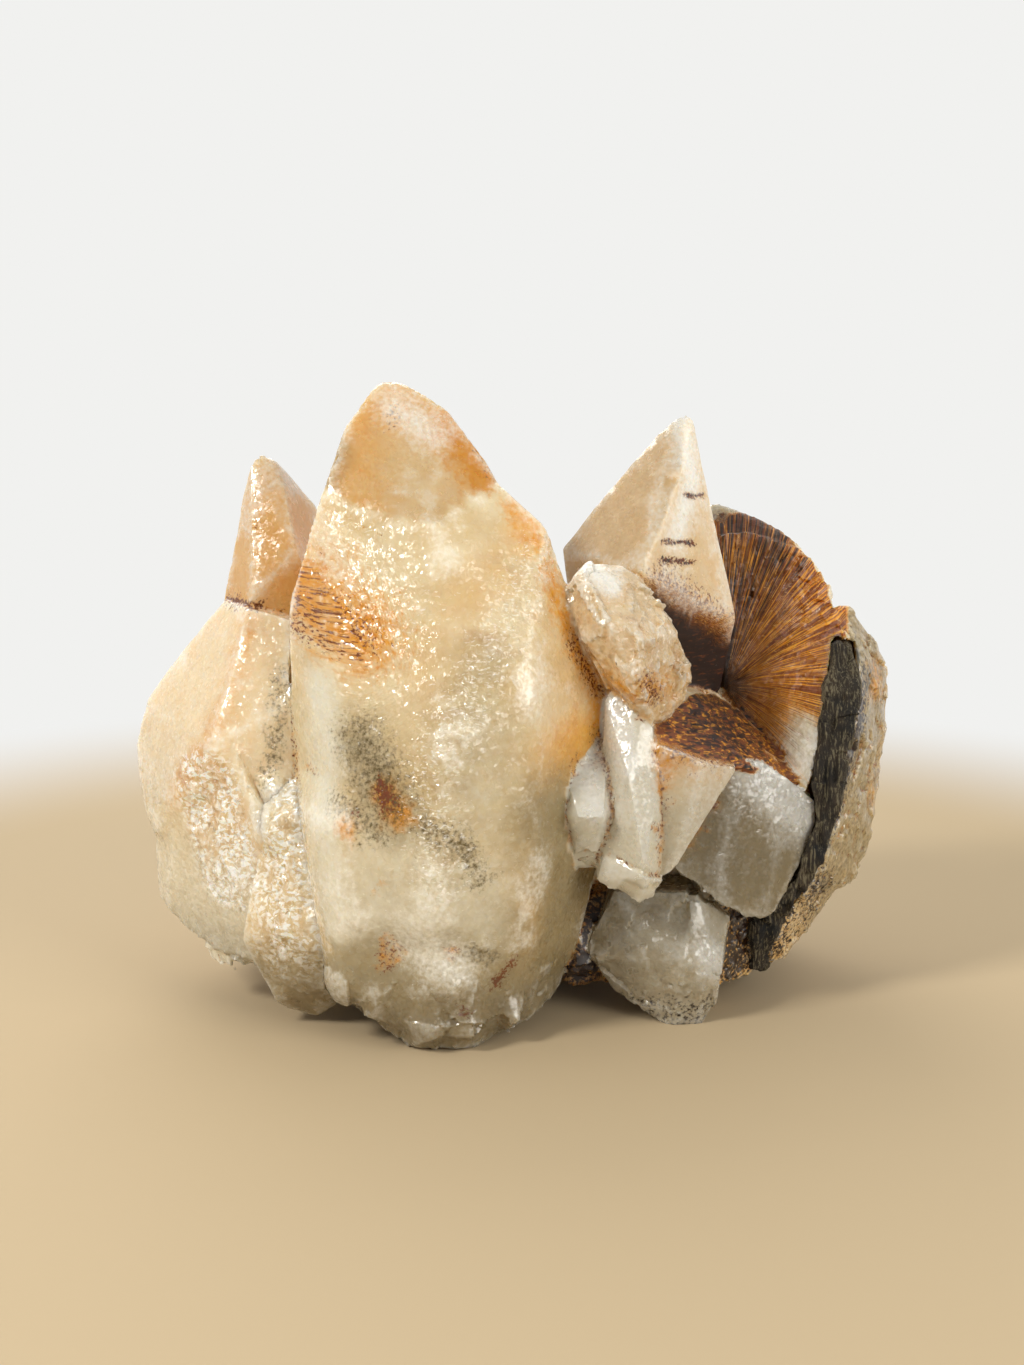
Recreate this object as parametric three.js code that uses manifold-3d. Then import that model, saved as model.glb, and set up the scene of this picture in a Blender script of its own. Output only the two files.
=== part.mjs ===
// Dogtooth calcite: a hand-sized cluster of intergrown scalenohedral crystals, with a seam of
// dark host rock still caught between two of them. Millimetres, +Z up, -Y is the showy side and
// +X is to its right. The origin is the middle of the cluster's box, on the surface it rests on.

import * as THREE from 'three';
import { ConvexGeometry } from 'three/addons/geometries/ConvexGeometry.js';
import { mergeVertices } from 'three/addons/utils/BufferGeometryUtils.js';
import Module from 'manifold-3d';

const wasm = await Module();
wasm.setup();

// Driving dimensions
const SEAM_GAP = 0.45;        // clear space beside the host rock, measured sideways
const SEAM_DEPTH = 22;        // how far the host rock runs back between the crystals
const SEAM_DRIFT = 3;         // how far it leans to the right on the way back
const SEAM_MOUTH = 6;         // how far its slot is open ahead of it
const FAN_RIDGES = 30;        // growth ridges that fan over the stained hollow face
const FAN_HEIGHT = 0.7;
const LEDGES = 9;             // growth ledges on the left shoulder of the main blade
const LEDGE_HEIGHT = 0.5;
const LEDGE_WIDTH = 2.2;
const LEDGE_TOP = [-30.6, 86];  // left end of the topmost one, right and up
const LEDGE_PITCH = 2.6;      // from one ledge down to the next
const LEDGE_SHIFT = 0.62;     // how far each begins left of the one above it
const LEDGE_LENGTH = 15;
const LEDGE_LONGER = 3;       // how much longer every second one is
const LEDGE_SLOPE = 0.42;     // fall over length
const LEDGE_STRETCHES = 2;    // straight stretches that follow the curved face
const LEDGE_SUNK = 1;         // how deep its sides reach into the crystal
const CUT_MARGIN = 20;        // how far the block that trims the feet reaches past them
const FAR_AHEAD = -200;       // a place well in front of the whole cluster
const WELD = 1e-4;            // corners closer than this are one

// Calcite breaks into rhombohedra: three edges of equal length that lean out from one axis
const CLEAVAGE_OUT = 0.897;   // part of an edge that points away from the axis
const CLEAVAGE_ALONG = 0.443; // part of an edge that points along it

// A scalenohedron's section has six corners whose distance from the axis alternates
const CORNER_RATIO = 0.8;
const GIRDLE_ZIGZAG = 0.16;   // how far the girdle goes up and down, as a part of the radius
const SUNK_END = 0.7;         // length of the end in the mass, as a part of the end that stands out

// The main blade: a broad crystal that stands on its chipped root
const MAIN_BLADE = [
  // under the broken tip, and the right shoulder
  [-30.5, -20, 89], [-13, -26, 83.5], [-2.5, -17, 89], [5, -19, 82.5],
  // left edge, down to the root
  [-37, -18, 69.5], [-36.5, -16, 40], [-35, -18, 18], [-32, -21, 10],
  // soft ridge at the left of the front
  [-27, -33, 41], [-25, -34, 20],
  // middle of the front
  [-10, -38, 52], [-13, -39.5, 27], [-14.5, -37.5, 12],
  // soft ridge at the right of the front
  [3, -34, 59], [4, -34, 28], [1, -32, 14],
  // right edge
  [9.5, -19, 69], [15.2, -18, 54], [15.2, -17, 31], [11.5, -18, 16], [7.5, -19, 5.5],
  // root
  [2.5, -26, 2], [-5.5, -32, 0], [-9, -34.5, -0.9], [-16, -34, -0.9], [-21, -31, 1.5],
  [-24.5, -28, 4], [-28.5, -23, 7],
  // back
  [-27, -4, 88], [-5, -5, 89], [-14, 3, 84], [-30, 3, 66], [6, 3, 64], [-10, 12, 58],
  [-20, 6, 20], [2, 4, 20],
];

// Its tip, broken long ago and healed to one smooth face that leans back
const HEALED_TIP = [
  [-30.5, -20, 89], [-13, -26, 83.5], [-2.5, -17, 89], [-4.5, -15, 92.5], [-11, -12, 101],
  [-14, -11, 103], [-18, -10, 105], [-20.5, -9.5, 105.5], [-22.5, -10.5, 105],
  [-24.5, -12, 102.5], [-27.5, -15, 98], [-20, -5, 103.5], [-27, -4, 88], [-6, -5, 89],
  [-14, 3, 84],
];

const LEFT_PEAK = [
  [-44.5, 1, 91], [-43, 2, 92.5], [-41, 3, 91.5], [-39, -1, 87.5], [-39, 5, 89], [-34, 7, 83],
  [-36.5, -6, 77.5], [-44, -8, 69], [-46.5, 1, 84], [-49.5, -1, 68], [-38.5, -4, 64],
  [-40, 14, 76], [-47, 10, 64], [-34, 16, 62], [-50, 0, 60], [-32, -4, 64],
];

// The big left crystal, whose lower left end overhangs
const LEFT_CRYSTAL = [
  [-49.5, -2, 68], [-54, -1, 62.5], [-59.5, 0, 56], [-63.5, 0, 50.5], [-65.5, 0, 42.5],
  [-65.5, 0, 36], [-64, -1, 28], [-44.5, -9, 68], [-46.5, -15, 57.5], [-50, -19, 46.5],
  [-56, -16, 37], [-61.5, -8, 27], [-37, -10, 66], [-37, -17, 53.5], [-37, -18, 38],
  [-57, 22, 50], [-60, 17, 32], [-40, 28, 54], [-42, 10, 66],
];

const LEFT_FOOTWALL = [
  [-62.5, -3, 27], [-62.3, -2, 17], [-60, -6, 15], [-53.5, -11, 11], [-48, -14, 9],
  [-43.5, -17, 8], [-47, -18.2, 50], [-57, -13, 35.5], [-41, -22, 33], [-43.5, -21, 20],
  [-43, -20, 10], [-58, 14, 20], [-40, 20, 14], [-40, 20, 40], [-58, 16, 36], [-34, -12, 10],
];

const LEFT_CHIP = [
  [-53.5, -9, 10], [-52, -11, 10.3], [-48, -14.3, 8.8], [-47.3, -14.3, 7], [-50, -12, 6],
  [-53, -9, 7], [-49, -6, 11],
];

// A wedge in the corner between the left crystal and the main blade
const CORNER_WEDGE = [
  [-36.5, -19, 41], [-41, -21.5, 31.5], [-43.5, -23, 22], [-45, -23, 15], [-43, -23, 11],
  [-39.5, -23, 4], [-37, -21, 2], [-33, -21, 0.8], [-29.5, -22, 3.5], [-38.5, -28, 17.5],
  [-31, -29, 16], [-31, -27, 8], [-38, -26, 10], [-35, -23.5, 38], [-34, -10, 30],
  [-38, -10, 6], [-28, -10, 6],
];

// The sharp dogtooth at the right, whose lower face is undercut
const RIGHT_DOGTOOTH = [
  [27.5, 5, 98], [29, 6, 98.7], [30.3, 6, 98], [24.5, 5, 95.7], [15.5, 3, 85.5],
  [8, 2, 76.5], [9, -2, 66], [28, -2, 90], [24, -10, 80.5], [20.5, -15, 75],
  [31, 6, 94], [33, 4, 84], [37.5, -1, 65], [26, -10, 69], [35.5, 3, 51.5], [28.5, 0, 50],
  [31, 20, 82], [35, 26, 62], [14, 22, 72], [20, 30, 58], [12, 10, 52],
];

const CLEAR_LUMP = [
  [8, -20, 72], [9.5, -20, 75], [12, -18, 77], [14, -19, 76], [11.5, -23, 74],
  [17.5, -17, 76.3], [19.5, -17, 75], [23, -18, 71], [27, -19, 65], [28.5, -18, 58.5],
  [28.5, -17, 55], [25, -21, 52], [22.5, -24.5, 51], [18.5, -26, 55], [15.5, -25, 57.5],
  [11, -24, 65], [13.5, -27, 69], [19.5, -27.5, 66], [19, -29, 60], [12, -6, 70],
  [24, -6, 66], [26, -8, 52], [14, -8, 52],
];

// Four blocky crystals below it, each with its own flat front
const SPINDLE = [
  [9.5, -23, 46], [11, -22.5, 47.5], [15, -21, 48], [15.5, -24, 39], [16, -26, 37.5],
  [14.5, -26, 32], [12.5, -25, 27.5], [9.5, -25, 27.5], [8, -29, 38], [8.5, -27, 43],
  [10, -32, 38], [14, -31, 38], [12, -12, 44], [12, -12, 28],
];

const MIDDLE_BLOCK = [
  [14.5, -22, 55], [16, -21, 57.3], [19, -23.5, 55], [22, -25, 51], [23, -27, 42],
  [23.5, -27, 28], [22.5, -27, 25], [20, -28, 23.5], [13, -26, 26], [14.5, -26, 31],
  [15.5, -25, 38], [14.5, -22, 48], [18, -30, 44], [20.5, -31, 30], [15, -10, 52],
  [24, -10, 50], [15, -10, 28], [23, -10, 28],
];

const MIDDLE_STEP = [
  [14.2, -27.2, 30.5], [20.8, -32, 28.2], [23.8, -28, 26.5], [23, -27.5, 25],
  [20, -29, 23.3], [13, -27, 26], [16, -18, 29], [22, -18, 26],
];

const STAINED_BLOCK = [
  [23, -26, 48.5], [30.5, -25, 45], [36, -21.5, 43.5], [26, -26.5, 28.5], [24.5, -27, 27],
  [23, -27, 27], [24, -10, 48], [34, -10, 44], [26, -10, 28],
];

const GREY_BLOCK = [
  [36, -18.5, 44], [40.5, -16.5, 43.5], [45.5, -15, 40], [50.5, -12, 35.5], [51, -11, 33],
  [50.5, -12, 30], [45.5, -16, 21], [41.5, -19, 17], [38.5, -20, 17.7], [33.5, -21.5, 21],
  [26, -22, 27], [36, -6, 42], [48, -2, 36], [44, -6, 20], [30, -8, 22],
];

const ROOF = [
  [22.5, -22, 50.5], [29.5, -8, 53.5], [34, 0, 52], [39, 0, 48.5], [47, -5, 41],
  [50, -10, 36.5], [36, -20, 44.5], [30.5, -23.5, 46], [23, -24.5, 49.3], [24, -6, 38],
  [44, 2, 32], [34, -10, 36],
];

// The low crystals at the right front, one of them a foot
const LOW_CRYSTALS = [
  [16.5, -17, 21.5], [12.5, -18, 12], [13, -19, 10.5], [16.5, -18, 4.5], [22.5, -20, 5],
  [25, -21.5, 1.5], [26.5, -22, -0.9], [30.5, -21.5, -0.9], [33.8, -20, 3], [34, -21.5, 8],
  [34.3, -21.5, 11.5], [32, -23, 13.5], [27, -24.5, 12], [31, -24, 8.5], [36, -18, 17],
  [20, -21, 16], [30, -21, 22], [16, -4, 22], [34, -4, 22], [31, -8, -0.9], [18, -6, 6],
];

const BROWN_BACK = [
  [11, -14, 19], [16, -13, 21], [7.5, -16, 5.5], [11.5, -14, 3.8], [17, -13, 3.8],
  [22, -14, 5], [8, -20, 9], [10, 8, 22], [22, 8, 22], [10, 4, 5], [22, 4, 5],
];

const BROWN_CORNER = [
  [35, -17, 20], [34.5, -18, 6], [32, -15, 2.5], [40.2, -12, 16], [40.2, -10, 5],
  [44, -2, 6], [44, 4, 24], [34, 4, 6],
];

// The big stained crystal at the right. Its face is hollow: it fans out from a hub to a rim
const FAN_HUB = [36.5, 5, 52];
const FAN_RIM = [
  [36, 14, 77.5], [40.5, 14, 78.2], [45.5, 13, 77], [50, 11, 75.5], [52.2, 9, 73.8],
  [53.7, 6.5, 70.5], [55, 3, 66.5], [56, -5, 62.5], [53, -9, 57], [51.5, -11.5, 50.5],
  [51, -12.5, 44.5], [49, -13.5, 38], [43, -6, 43], [39, 0, 47.5],
];
const FAN_HOLLOW = 3;         // how far the middle of the face lies behind hub and rim
const FAN_UNEVEN = 0.5;       // how much the ridges differ in height, as a part of it
const FAN_BEAT = 2.3;         // radians from one spoke to the next in the wave of their heights
const FAN_RINGS = [0.3, 0.5, 0.75, 1]; // places from hub to rim
const FAN_BACKING = [1.5, 15, -5];

const GREY_CAP = [
  [35, 20, 82.5], [38, 20, 81.7], [43, 18, 80], [47, 16, 77.8], [50, 13, 76.3],
  [36, 16, 77], [40.5, 15.8, 77.8], [45.5, 14.8, 76.5], [53, 12, 71], [54.5, 10, 66],
  [36, 34, 72], [47, 32, 68], [55, 20, 58], [36, 20, 60], [50, 22, 56],
];

const RIGHT_CORE = [
  [40, 22, 72], [50, 22, 69], [55, 14, 62], [53, 5, 54], [51, 2, 40], [42, 12, 40],
  [38, 22, 60], [54, 22, 52], [40, 34, 58], [52, 28, 38], [38, 32, 32],
];

// The outer plate, right of the host rock
const OUTER_PLATE = [
  [56.5, -6, 61], [57, -10, 52], [55, -12, 46], [54, -13, 38], [51.5, -14, 27],
  [49.5, -13, 21.5], [55, 3, 66.5], [57.5, 3, 66.2], [59, 2.5, 64.5], [62.5, 4, 60],
  [65, 6, 55], [65.6, 7, 49], [64.6, 6, 36], [62, 3, 22.5], [59, 0, 18], [54, -4, 16.5],
  [52, 30, 58], [59, 24, 48], [58, 24, 26], [46, 26, 20],
];

const PLATE_TAIL = [
  [49.5, -13, 22], [45, -12.3, 17.5], [43, -10.5, 12], [42.3, -9, 5.5], [54, -4, 17.5],
  [51, -4, 11], [47, -6, 5.8], [58, 0, 19], [45, 12, 8], [56, 16, 20], [44, 8, 22],
];

// The host rock, as cross sections from top to bottom: left edge, right edge
const SEAM_SECTIONS = [
  [[54, -6.5, 61.5], [57, -5.5, 61]],
  [[52, -11, 52], [56.8, -11, 52]],
  [[51, -13, 45], [55, -13, 46]],
  [[50.2, -14, 38], [54, -14, 38.5]],
  [[50.8, -13.5, 32], [53, -14, 32]],
  [[48, -14.5, 25], [51.3, -15, 26.5]],
  [[43.5, -15, 17.5], [48.5, -14, 20.5]],
  [[40.8, -13.5, 14], [44, -12.5, 14.5]],
  [[40.6, -11, 6.2], [42.2, -10, 5.2]],
];

// The back is massive calcite, with smaller dogteeth that each run from a girdle to a tip
const MASSES = [
  [
    [-46, 20, 12], [-52, 14, 30], [-46, 24, 52], [-30, 30, 58], [-15, 33, 42], [-12, 37, 14],
    [-28, 35, 6], [-44, 25, 6], [-36, -12, 60], [-14, -10, 62], [-34, -14, 8], [-10, -16, 5],
  ],
  [
    [-16, 29, 62], [4, 33, 55], [15, 36, 32], [10, 39, 8], [-12, 38, 5], [-17, 33, 30],
    [-8, -12, 62], [20, -6, 56], [-10, -14, 5], [20, -10, 6],
  ],
  [
    [16, 28, 60], [33, 30, 56], [46, 24, 46], [51, 20, 24], [44, 29, 8], [24, 37, 5],
    [14, 35, 20], [16, -6, 56], [32, -4, 52], [44, 4, 42], [50, 6, 24], [38, -8, 8], [20, -10, 6],
  ],
];
const BACK_DOGTEETH = [
  { girdle: [-2, 16, 44], tip: [2, 27, 77], radius: 17, turn: 0.2 },
  { girdle: [-28, 24, 34], tip: [-41, 38, 64], radius: 16, turn: 0.7 },
  { girdle: [24, 24, 38], tip: [33, 39, 68], radius: 15, turn: 0.4 },
  { girdle: [-6, 28, 24], tip: [-8, 40.2, 51], radius: 12, turn: 0.9 },
  { girdle: [43, 20, 26], tip: [52, 35, 46], radius: 12, turn: 0.1 },
  { girdle: [-50, 12, 26], tip: [-60, 26, 45], radius: 12, turn: 0.5 },
  { girdle: [16, 32, 18], tip: [20, 40.2, 33], radius: 8, turn: 0.3 },
  { girdle: [-22, 18, 50], tip: [-25, 25, 72], radius: 10, turn: 1.0 },
  { girdle: [14, 26, 50], tip: [17, 35, 66], radius: 8, turn: 0.6 },
  { girdle: [-36, 30, 16], tip: [-46, 39, 26], radius: 8, turn: 0.8 },
];
const BACK_FEET = [
  [
    [-35, 22, -0.9], [-28, 19, -0.9], [-24, 27, -0.9], [-31, 32, -0.9], [-42, 15, 10],
    [-20, 11, 9], [-17, 33, 10], [-37, 37, 12],
  ],
  [
    [26, 24, -0.9], [34, 21, -0.9], [37, 29, -0.9], [29, 33, -0.9], [17, 15, 9], [42, 14, 10],
    [45, 31, 12], [21, 38, 10],
  ],
];

// Where the mass broke along its cleavage it is stepped: bites and blocks on an arc round the back
const CLEAVAGE_STEPS = 26;
const STEP_ARC = { across: 53, from: 10, deep: 22.5 };
const STEP_LOW = 12;
const STEP_RISE = 43;
const STEP_HALF = 4.5;        // half an edge of the smallest block
const STEP_HALF_MORE = 4;     // and what the largest has more
const STANDING_REACH = 0.8;   // the blocks that stand out sit further in than the bites
const HEIGHT_SPREAD = 0.618;  // parts of a turn that spread their heights and sizes evenly
const SIZE_SPREAD = 0.37;
const CLEAVAGE_AXIS = [0.45, -0.25, 0.86];
const UNDER_BITES = [
  [[0, 14, 2], 7], [[-16, 2, 2], 6], [[20, 14, 3], 6], [[-36, 4, 4], 6], [[8, 28, 3], 6],
];

// Chips that stand out of the broken root of the main blade: middle, half an edge, axis
const ROOT_CHIPS = [
  [[-20.5, -31.3, 7], 2.8, [0.7, -0.5, 0.4]], [[-15, -34.2, 5], 2.6, [-0.3, -0.9, 0.5]],
  [[-8, -33.4, 5], 2.8, [0.4, -0.6, 0.8]], [[-1.5, -30, 5.5], 2.4, [-0.6, -0.6, 0.3]],
  [[-25.5, -29.3, 11], 2.4, [0.1, -0.8, 0.9]], [[-11, -36.3, 12], 2.4, [-0.5, -1, 0.1]],
];
const ROOT_BITES = [
  [[-12, -38.2, 8.5], 2.2, [0.2, -0.5, 0.9]], [[-18.5, -36.2, 3.2], 2, [0.9, -0.2, 0.5]],
  [[-3.5, -34.8, 3.4], 2.2, [-0.4, -0.3, 0.8]], [[2, -32.5, 9], 2, [0.5, -0.8, 0.2]],
];

const CALCITE = new THREE.MeshStandardMaterial({ color: 0xe8d3b0, roughness: 0.35, metalness: 0 });
const HOST_ROCK = new THREE.MeshStandardMaterial({ color: 0x4a4a42, roughness: 0.9, metalness: 0 });

function solidFrom(geometry) {
  const bare = geometry.clone();
  bare.deleteAttribute('normal');
  bare.deleteAttribute('uv');
  const merged = mergeVertices(bare, WELD);
  return new wasm.Manifold(new wasm.Mesh({
    numProp: 3,
    vertProperties: new Float32Array(merged.attributes.position.array),
    triVerts: new Uint32Array(merged.index.array),
  }));
}

function crystal(corners) {
  return solidFrom(new ConvexGeometry(corners.map((corner) => new THREE.Vector3(...corner))));
}

function joined(solids) {
  return solids.reduce((sum, solid) => sum.add(solid));
}

// Joining faces that nearly coincide leaves specks of no volume: only the largest shell is kept
function largestShell(triangles) {
  const owner = new Map();
  const rootOf = (corner) => {
    let root = corner;
    while (owner.has(root) && owner.get(root) !== root) root = owner.get(root);
    owner.set(corner, root);
    return root;
  };
  for (let first = 0; first < triangles.length; first += 3) {
    const root = rootOf(triangles[first]);
    owner.set(rootOf(triangles[first + 1]), root);
    owner.set(rootOf(triangles[first + 2]), root);
  }
  const shells = new Map();
  for (let first = 0; first < triangles.length; first += 3) {
    const root = rootOf(triangles[first]);
    if (!shells.has(root)) shells.set(root, []);
    shells.get(root).push(...triangles.slice(first, first + 3));
  }
  return [...shells.values()].reduce((most, shell) => (shell.length > most.length ? shell : most));
}

function geometryOf(solid) {
  const mesh = solid.getMesh();
  const geometry = new THREE.BufferGeometry();
  geometry.setAttribute('position', new THREE.BufferAttribute(mesh.vertProperties, 3));
  geometry.setIndex(largestShell(mesh.triVerts));
  return geometry;
}

function moved(corner, by) {
  return corner.map((value, axis) => value + by[axis]);
}

function between(from, to, part) {
  return from.map((value, axis) => value + (to[axis] - value) * part);
}

// A six-sided pyramid whose girdle zigzags, with its other end sunk in the mass
function dogtooth({ girdle, tip, radius, turn }) {
  const middle = new THREE.Vector3(...girdle);
  const axis = new THREE.Vector3(...tip).sub(middle);
  const height = axis.length();
  const lean = new THREE.Quaternion().setFromUnitVectors(new THREE.Vector3(0, 0, 1), axis.normalize());
  const corners = [new THREE.Vector3(0, 0, height), new THREE.Vector3(0, 0, -height * SUNK_END)];
  for (let side = 0; side < 6; side += 1) {
    const angle = turn + side * Math.PI / 3;
    const near = side % 2 === 0;
    const reach = near ? radius : radius * CORNER_RATIO;
    const level = (near ? 1 : -1) * radius * GIRDLE_ZIGZAG;
    corners.push(new THREE.Vector3(Math.cos(angle) * reach, Math.sin(angle) * reach, level));
  }
  return solidFrom(new ConvexGeometry(corners.map((corner) => corner.applyQuaternion(lean).add(middle))));
}

// A rhombohedron of calcite's own cleavage, about an axis
function cleavageBlock([middle, half, axis = CLEAVAGE_AXIS]) {
  const lean = new THREE.Quaternion().setFromUnitVectors(
    new THREE.Vector3(0, 0, 1), new THREE.Vector3(...axis).normalize());
  const edges = [0, 1, 2].map((edge) => {
    const angle = edge * 2 * Math.PI / 3;
    const along = new THREE.Vector3(
      Math.cos(angle) * CLEAVAGE_OUT, Math.sin(angle) * CLEAVAGE_OUT, CLEAVAGE_ALONG);
    return along.applyQuaternion(lean).multiplyScalar(half);
  });
  const corners = [];
  for (const a of [-1, 1]) {
    for (const b of [-1, 1]) {
      for (const c of [-1, 1]) {
        corners.push(new THREE.Vector3(...middle)
          .addScaledVector(edges[0], a).addScaledVector(edges[1], b).addScaledVector(edges[2], c));
      }
    }
  }
  return solidFrom(new ConvexGeometry(corners));
}

// A closed mesh from rings of corners, each joined to the next, with flat ends
function loft(rings) {
  const size = rings[0].length;
  const triangles = [];
  for (let ring = 0; ring + 1 < rings.length; ring += 1) {
    for (let side = 0; side < size; side += 1) {
      const here = ring * size + side;
      const next = ring * size + (side + 1) % size;
      triangles.push(here, here + size, next, next, here + size, next + size);
    }
  }
  const last = (rings.length - 1) * size;
  for (let side = 1; side + 1 < size; side += 1) {
    triangles.push(0, side, side + 1, last, last + side + 1, last + side);
  }
  return closedMesh(rings.flat(), triangles);
}

function closedMesh(corners, triangles) {
  const geometry = new THREE.BufferGeometry();
  geometry.setAttribute('position', new THREE.Float32BufferAttribute(corners.flat(), 3));
  geometry.setIndex(triangles);
  return solidFrom(geometry);
}

// A point part of the way along the rim of the hollow face
function rimPoint(part) {
  const place = Math.min(part * (FAN_RIM.length - 1), FAN_RIM.length - 1 - 1e-6);
  const step = Math.floor(place);
  return between(FAN_RIM[step], FAN_RIM[step + 1], place - step);
}

// The hollow face: spokes from hub to rim, every second one raised to a growth ridge, on a back
// of the same form
function hollowFan() {
  const spokes = 2 * FAN_RIDGES + 1;
  const rings = FAN_RINGS.length;
  const front = [FAN_HUB];
  for (let spoke = 0; spoke < spokes; spoke += 1) {
    const rim = rimPoint(spoke / (spokes - 1));
    for (const place of FAN_RINGS) {
      const hollow = FAN_HOLLOW * Math.sin(Math.PI * place);
      const uneven = 1 + FAN_UNEVEN * Math.sin(spoke * FAN_BEAT);
      const raised = spoke % 2 === 1 ? FAN_HEIGHT * place * uneven : 0;
      front.push(moved(between(FAN_HUB, rim, place), [0, hollow - raised, 0]));
    }
  }
  const back = front.map((corner) => moved(corner, FAN_BACKING));
  const count = front.length;
  const at = (spoke, ring) => 1 + spoke * rings + ring;
  const faces = [];
  for (let spoke = 0; spoke + 1 < spokes; spoke += 1) {
    faces.push([0, at(spoke, 0), at(spoke + 1, 0)]);
    for (let ring = 0; ring + 1 < rings; ring += 1) {
      faces.push([at(spoke, ring), at(spoke, ring + 1), at(spoke + 1, ring)]);
      faces.push([at(spoke + 1, ring), at(spoke, ring + 1), at(spoke + 1, ring + 1)]);
    }
  }
  const edge = [0];
  for (let ring = 0; ring < rings; ring += 1) edge.push(at(0, ring));
  for (let spoke = 1; spoke < spokes; spoke += 1) edge.push(at(spoke, rings - 1));
  for (let ring = rings - 2; ring >= 0; ring -= 1) edge.push(at(spokes - 1, ring));
  const triangles = faces.flatMap(([a, b, c]) => [a, c, b, count + a, count + b, count + c]);
  edge.forEach((here, step) => {
    const next = edge[(step + 1) % edge.length];
    triangles.push(here, next, count + here, next, count + next, count + here);
  });
  return closedMesh([...front, ...back], triangles);
}

function fraction(value) {
  return value - Math.floor(value);
}

// Every second step bites into the mass, and the others stand out of it
function cleavageSteps(bites) {
  const steps = [];
  for (let count = bites ? 0 : 1; count < CLEAVAGE_STEPS; count += 2) {
    const angle = Math.PI * (count + 0.5) / CLEAVAGE_STEPS;
    const reach = bites ? 1 : STANDING_REACH;
    const middle = [
      -STEP_ARC.across * Math.cos(angle) * reach,
      STEP_ARC.from + STEP_ARC.deep * Math.sin(angle) * reach,
      STEP_LOW + STEP_RISE * fraction(count * HEIGHT_SPREAD),
    ];
    steps.push(cleavageBlock([middle, STEP_HALF + STEP_HALF_MORE * fraction(count * SIZE_SPREAD)]));
  }
  return joined(steps);
}

// Where a line along +Y, through x and z, first meets the solid
function frontFinder(solid) {
  const target = new THREE.Mesh(geometryOf(solid), new THREE.MeshBasicMaterial({ side: THREE.DoubleSide }));
  const ray = new THREE.Raycaster();
  return (x, z) => {
    ray.set(new THREE.Vector3(x, FAR_AHEAD, z), new THREE.Vector3(0, 1, 0));
    const hit = ray.intersectObject(target)[0];
    return [x, hit.point.y, z];
  };
}

// A low ridge that follows the surface from one place to another, in stretches
function ridge(front, from, to, width, height, stretches) {
  const along = new THREE.Vector2(to[0] - from[0], to[1] - from[1]).normalize();
  const aside = [-along.y * width / 2, along.x * width / 2];
  const stations = [];
  for (let step = 0; step <= stretches; step += 1) {
    const part = step / stretches;
    const [x, y, z] = front(from[0] + (to[0] - from[0]) * part, from[1] + (to[1] - from[1]) * part);
    stations.push([
      [x, y - height, z],
      [x + aside[0], y + LEDGE_SUNK, z + aside[1]],
      [x - aside[0], y + LEDGE_SUNK, z - aside[1]],
    ]);
  }
  const pieces = [];
  for (let step = 0; step < stretches; step += 1) {
    pieces.push(crystal([...stations[step], ...stations[step + 1]]));
  }
  return pieces;
}

// Ledges run down to the right over the left shoulder of the main blade
function shoulderLedges(front) {
  const ledges = [];
  for (let count = 0; count < LEDGES; count += 1) {
    const left = LEDGE_TOP[0] - count * LEDGE_SHIFT;
    const high = LEDGE_TOP[1] - count * LEDGE_PITCH;
    const reach = LEDGE_LENGTH + LEDGE_LONGER * (count % 2);
    const from = [left, high];
    const to = [left + reach, high - reach * LEDGE_SLOPE];
    ledges.push(...ridge(front, from, to, LEDGE_WIDTH, LEDGE_HEIGHT, LEDGE_STRETCHES));
  }
  return joined(ledges);
}

// The host rock is a rough slab that runs back between the crystals; grown by the gap it is
// the slot that they leave for it, open ahead
function seamRock(grow) {
  const mouth = grow > 0 ? SEAM_MOUTH : 0;
  const ahead = [-mouth * SEAM_DRIFT / SEAM_DEPTH, -mouth, 0];
  const back = [SEAM_DRIFT, SEAM_DEPTH + grow, 0];
  const last = SEAM_SECTIONS.length - 1;
  return loft(SEAM_SECTIONS.map(([left, right], count) => {
    const lift = (count === 0 ? grow : 0) - (count === last ? grow : 0);
    const nearLeft = moved(left, [-grow, 0, lift]);
    const nearRight = moved(right, [grow, 0, lift]);
    return [moved(nearLeft, ahead), moved(nearRight, ahead), moved(nearRight, back),
      moved(nearLeft, back)];
  }));
}

function trimmedAtFloor(solid) {
  const size = solid.boundingBox();
  const width = size.max[0] - size.min[0] + 2 * CUT_MARGIN;
  const depth = size.max[1] - size.min[1] + 2 * CUT_MARGIN;
  const below = new THREE.BoxGeometry(width, depth, CUT_MARGIN);
  below.translate((size.min[0] + size.max[0]) / 2, (size.min[1] + size.max[1]) / 2, -CUT_MARGIN / 2);
  return solid.subtract(solidFrom(below));
}

function calciteSolid() {
  const showy = [
    MAIN_BLADE, HEALED_TIP, LEFT_PEAK, LEFT_CRYSTAL, LEFT_FOOTWALL, LEFT_CHIP, CORNER_WEDGE,
    RIGHT_DOGTOOTH, CLEAR_LUMP, SPINDLE, MIDDLE_BLOCK, MIDDLE_STEP, STAINED_BLOCK, GREY_BLOCK,
    ROOF, LOW_CRYSTALS, BROWN_BACK, BROWN_CORNER, GREY_CAP, RIGHT_CORE, OUTER_PLATE, PLATE_TAIL,
  ].map(crystal);
  const massive = joined([...MASSES.map(crystal), cleavageSteps(false)])
    .subtract(joined([cleavageSteps(true), ...UNDER_BITES.map(cleavageBlock)]));
  const back = [...BACK_DOGTEETH.map(dogtooth), ...BACK_FEET.map(crystal)];
  const grown = joined([...showy, massive, ...back, hollowFan()]);
  const ledged = grown.add(shoulderLedges(frontFinder(grown)));
  const broken = joined([ledged, ...ROOT_CHIPS.map(cleavageBlock)])
    .subtract(joined(ROOT_BITES.map(cleavageBlock)));
  return trimmedAtFloor(broken.subtract(seamRock(SEAM_GAP)));
}

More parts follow.
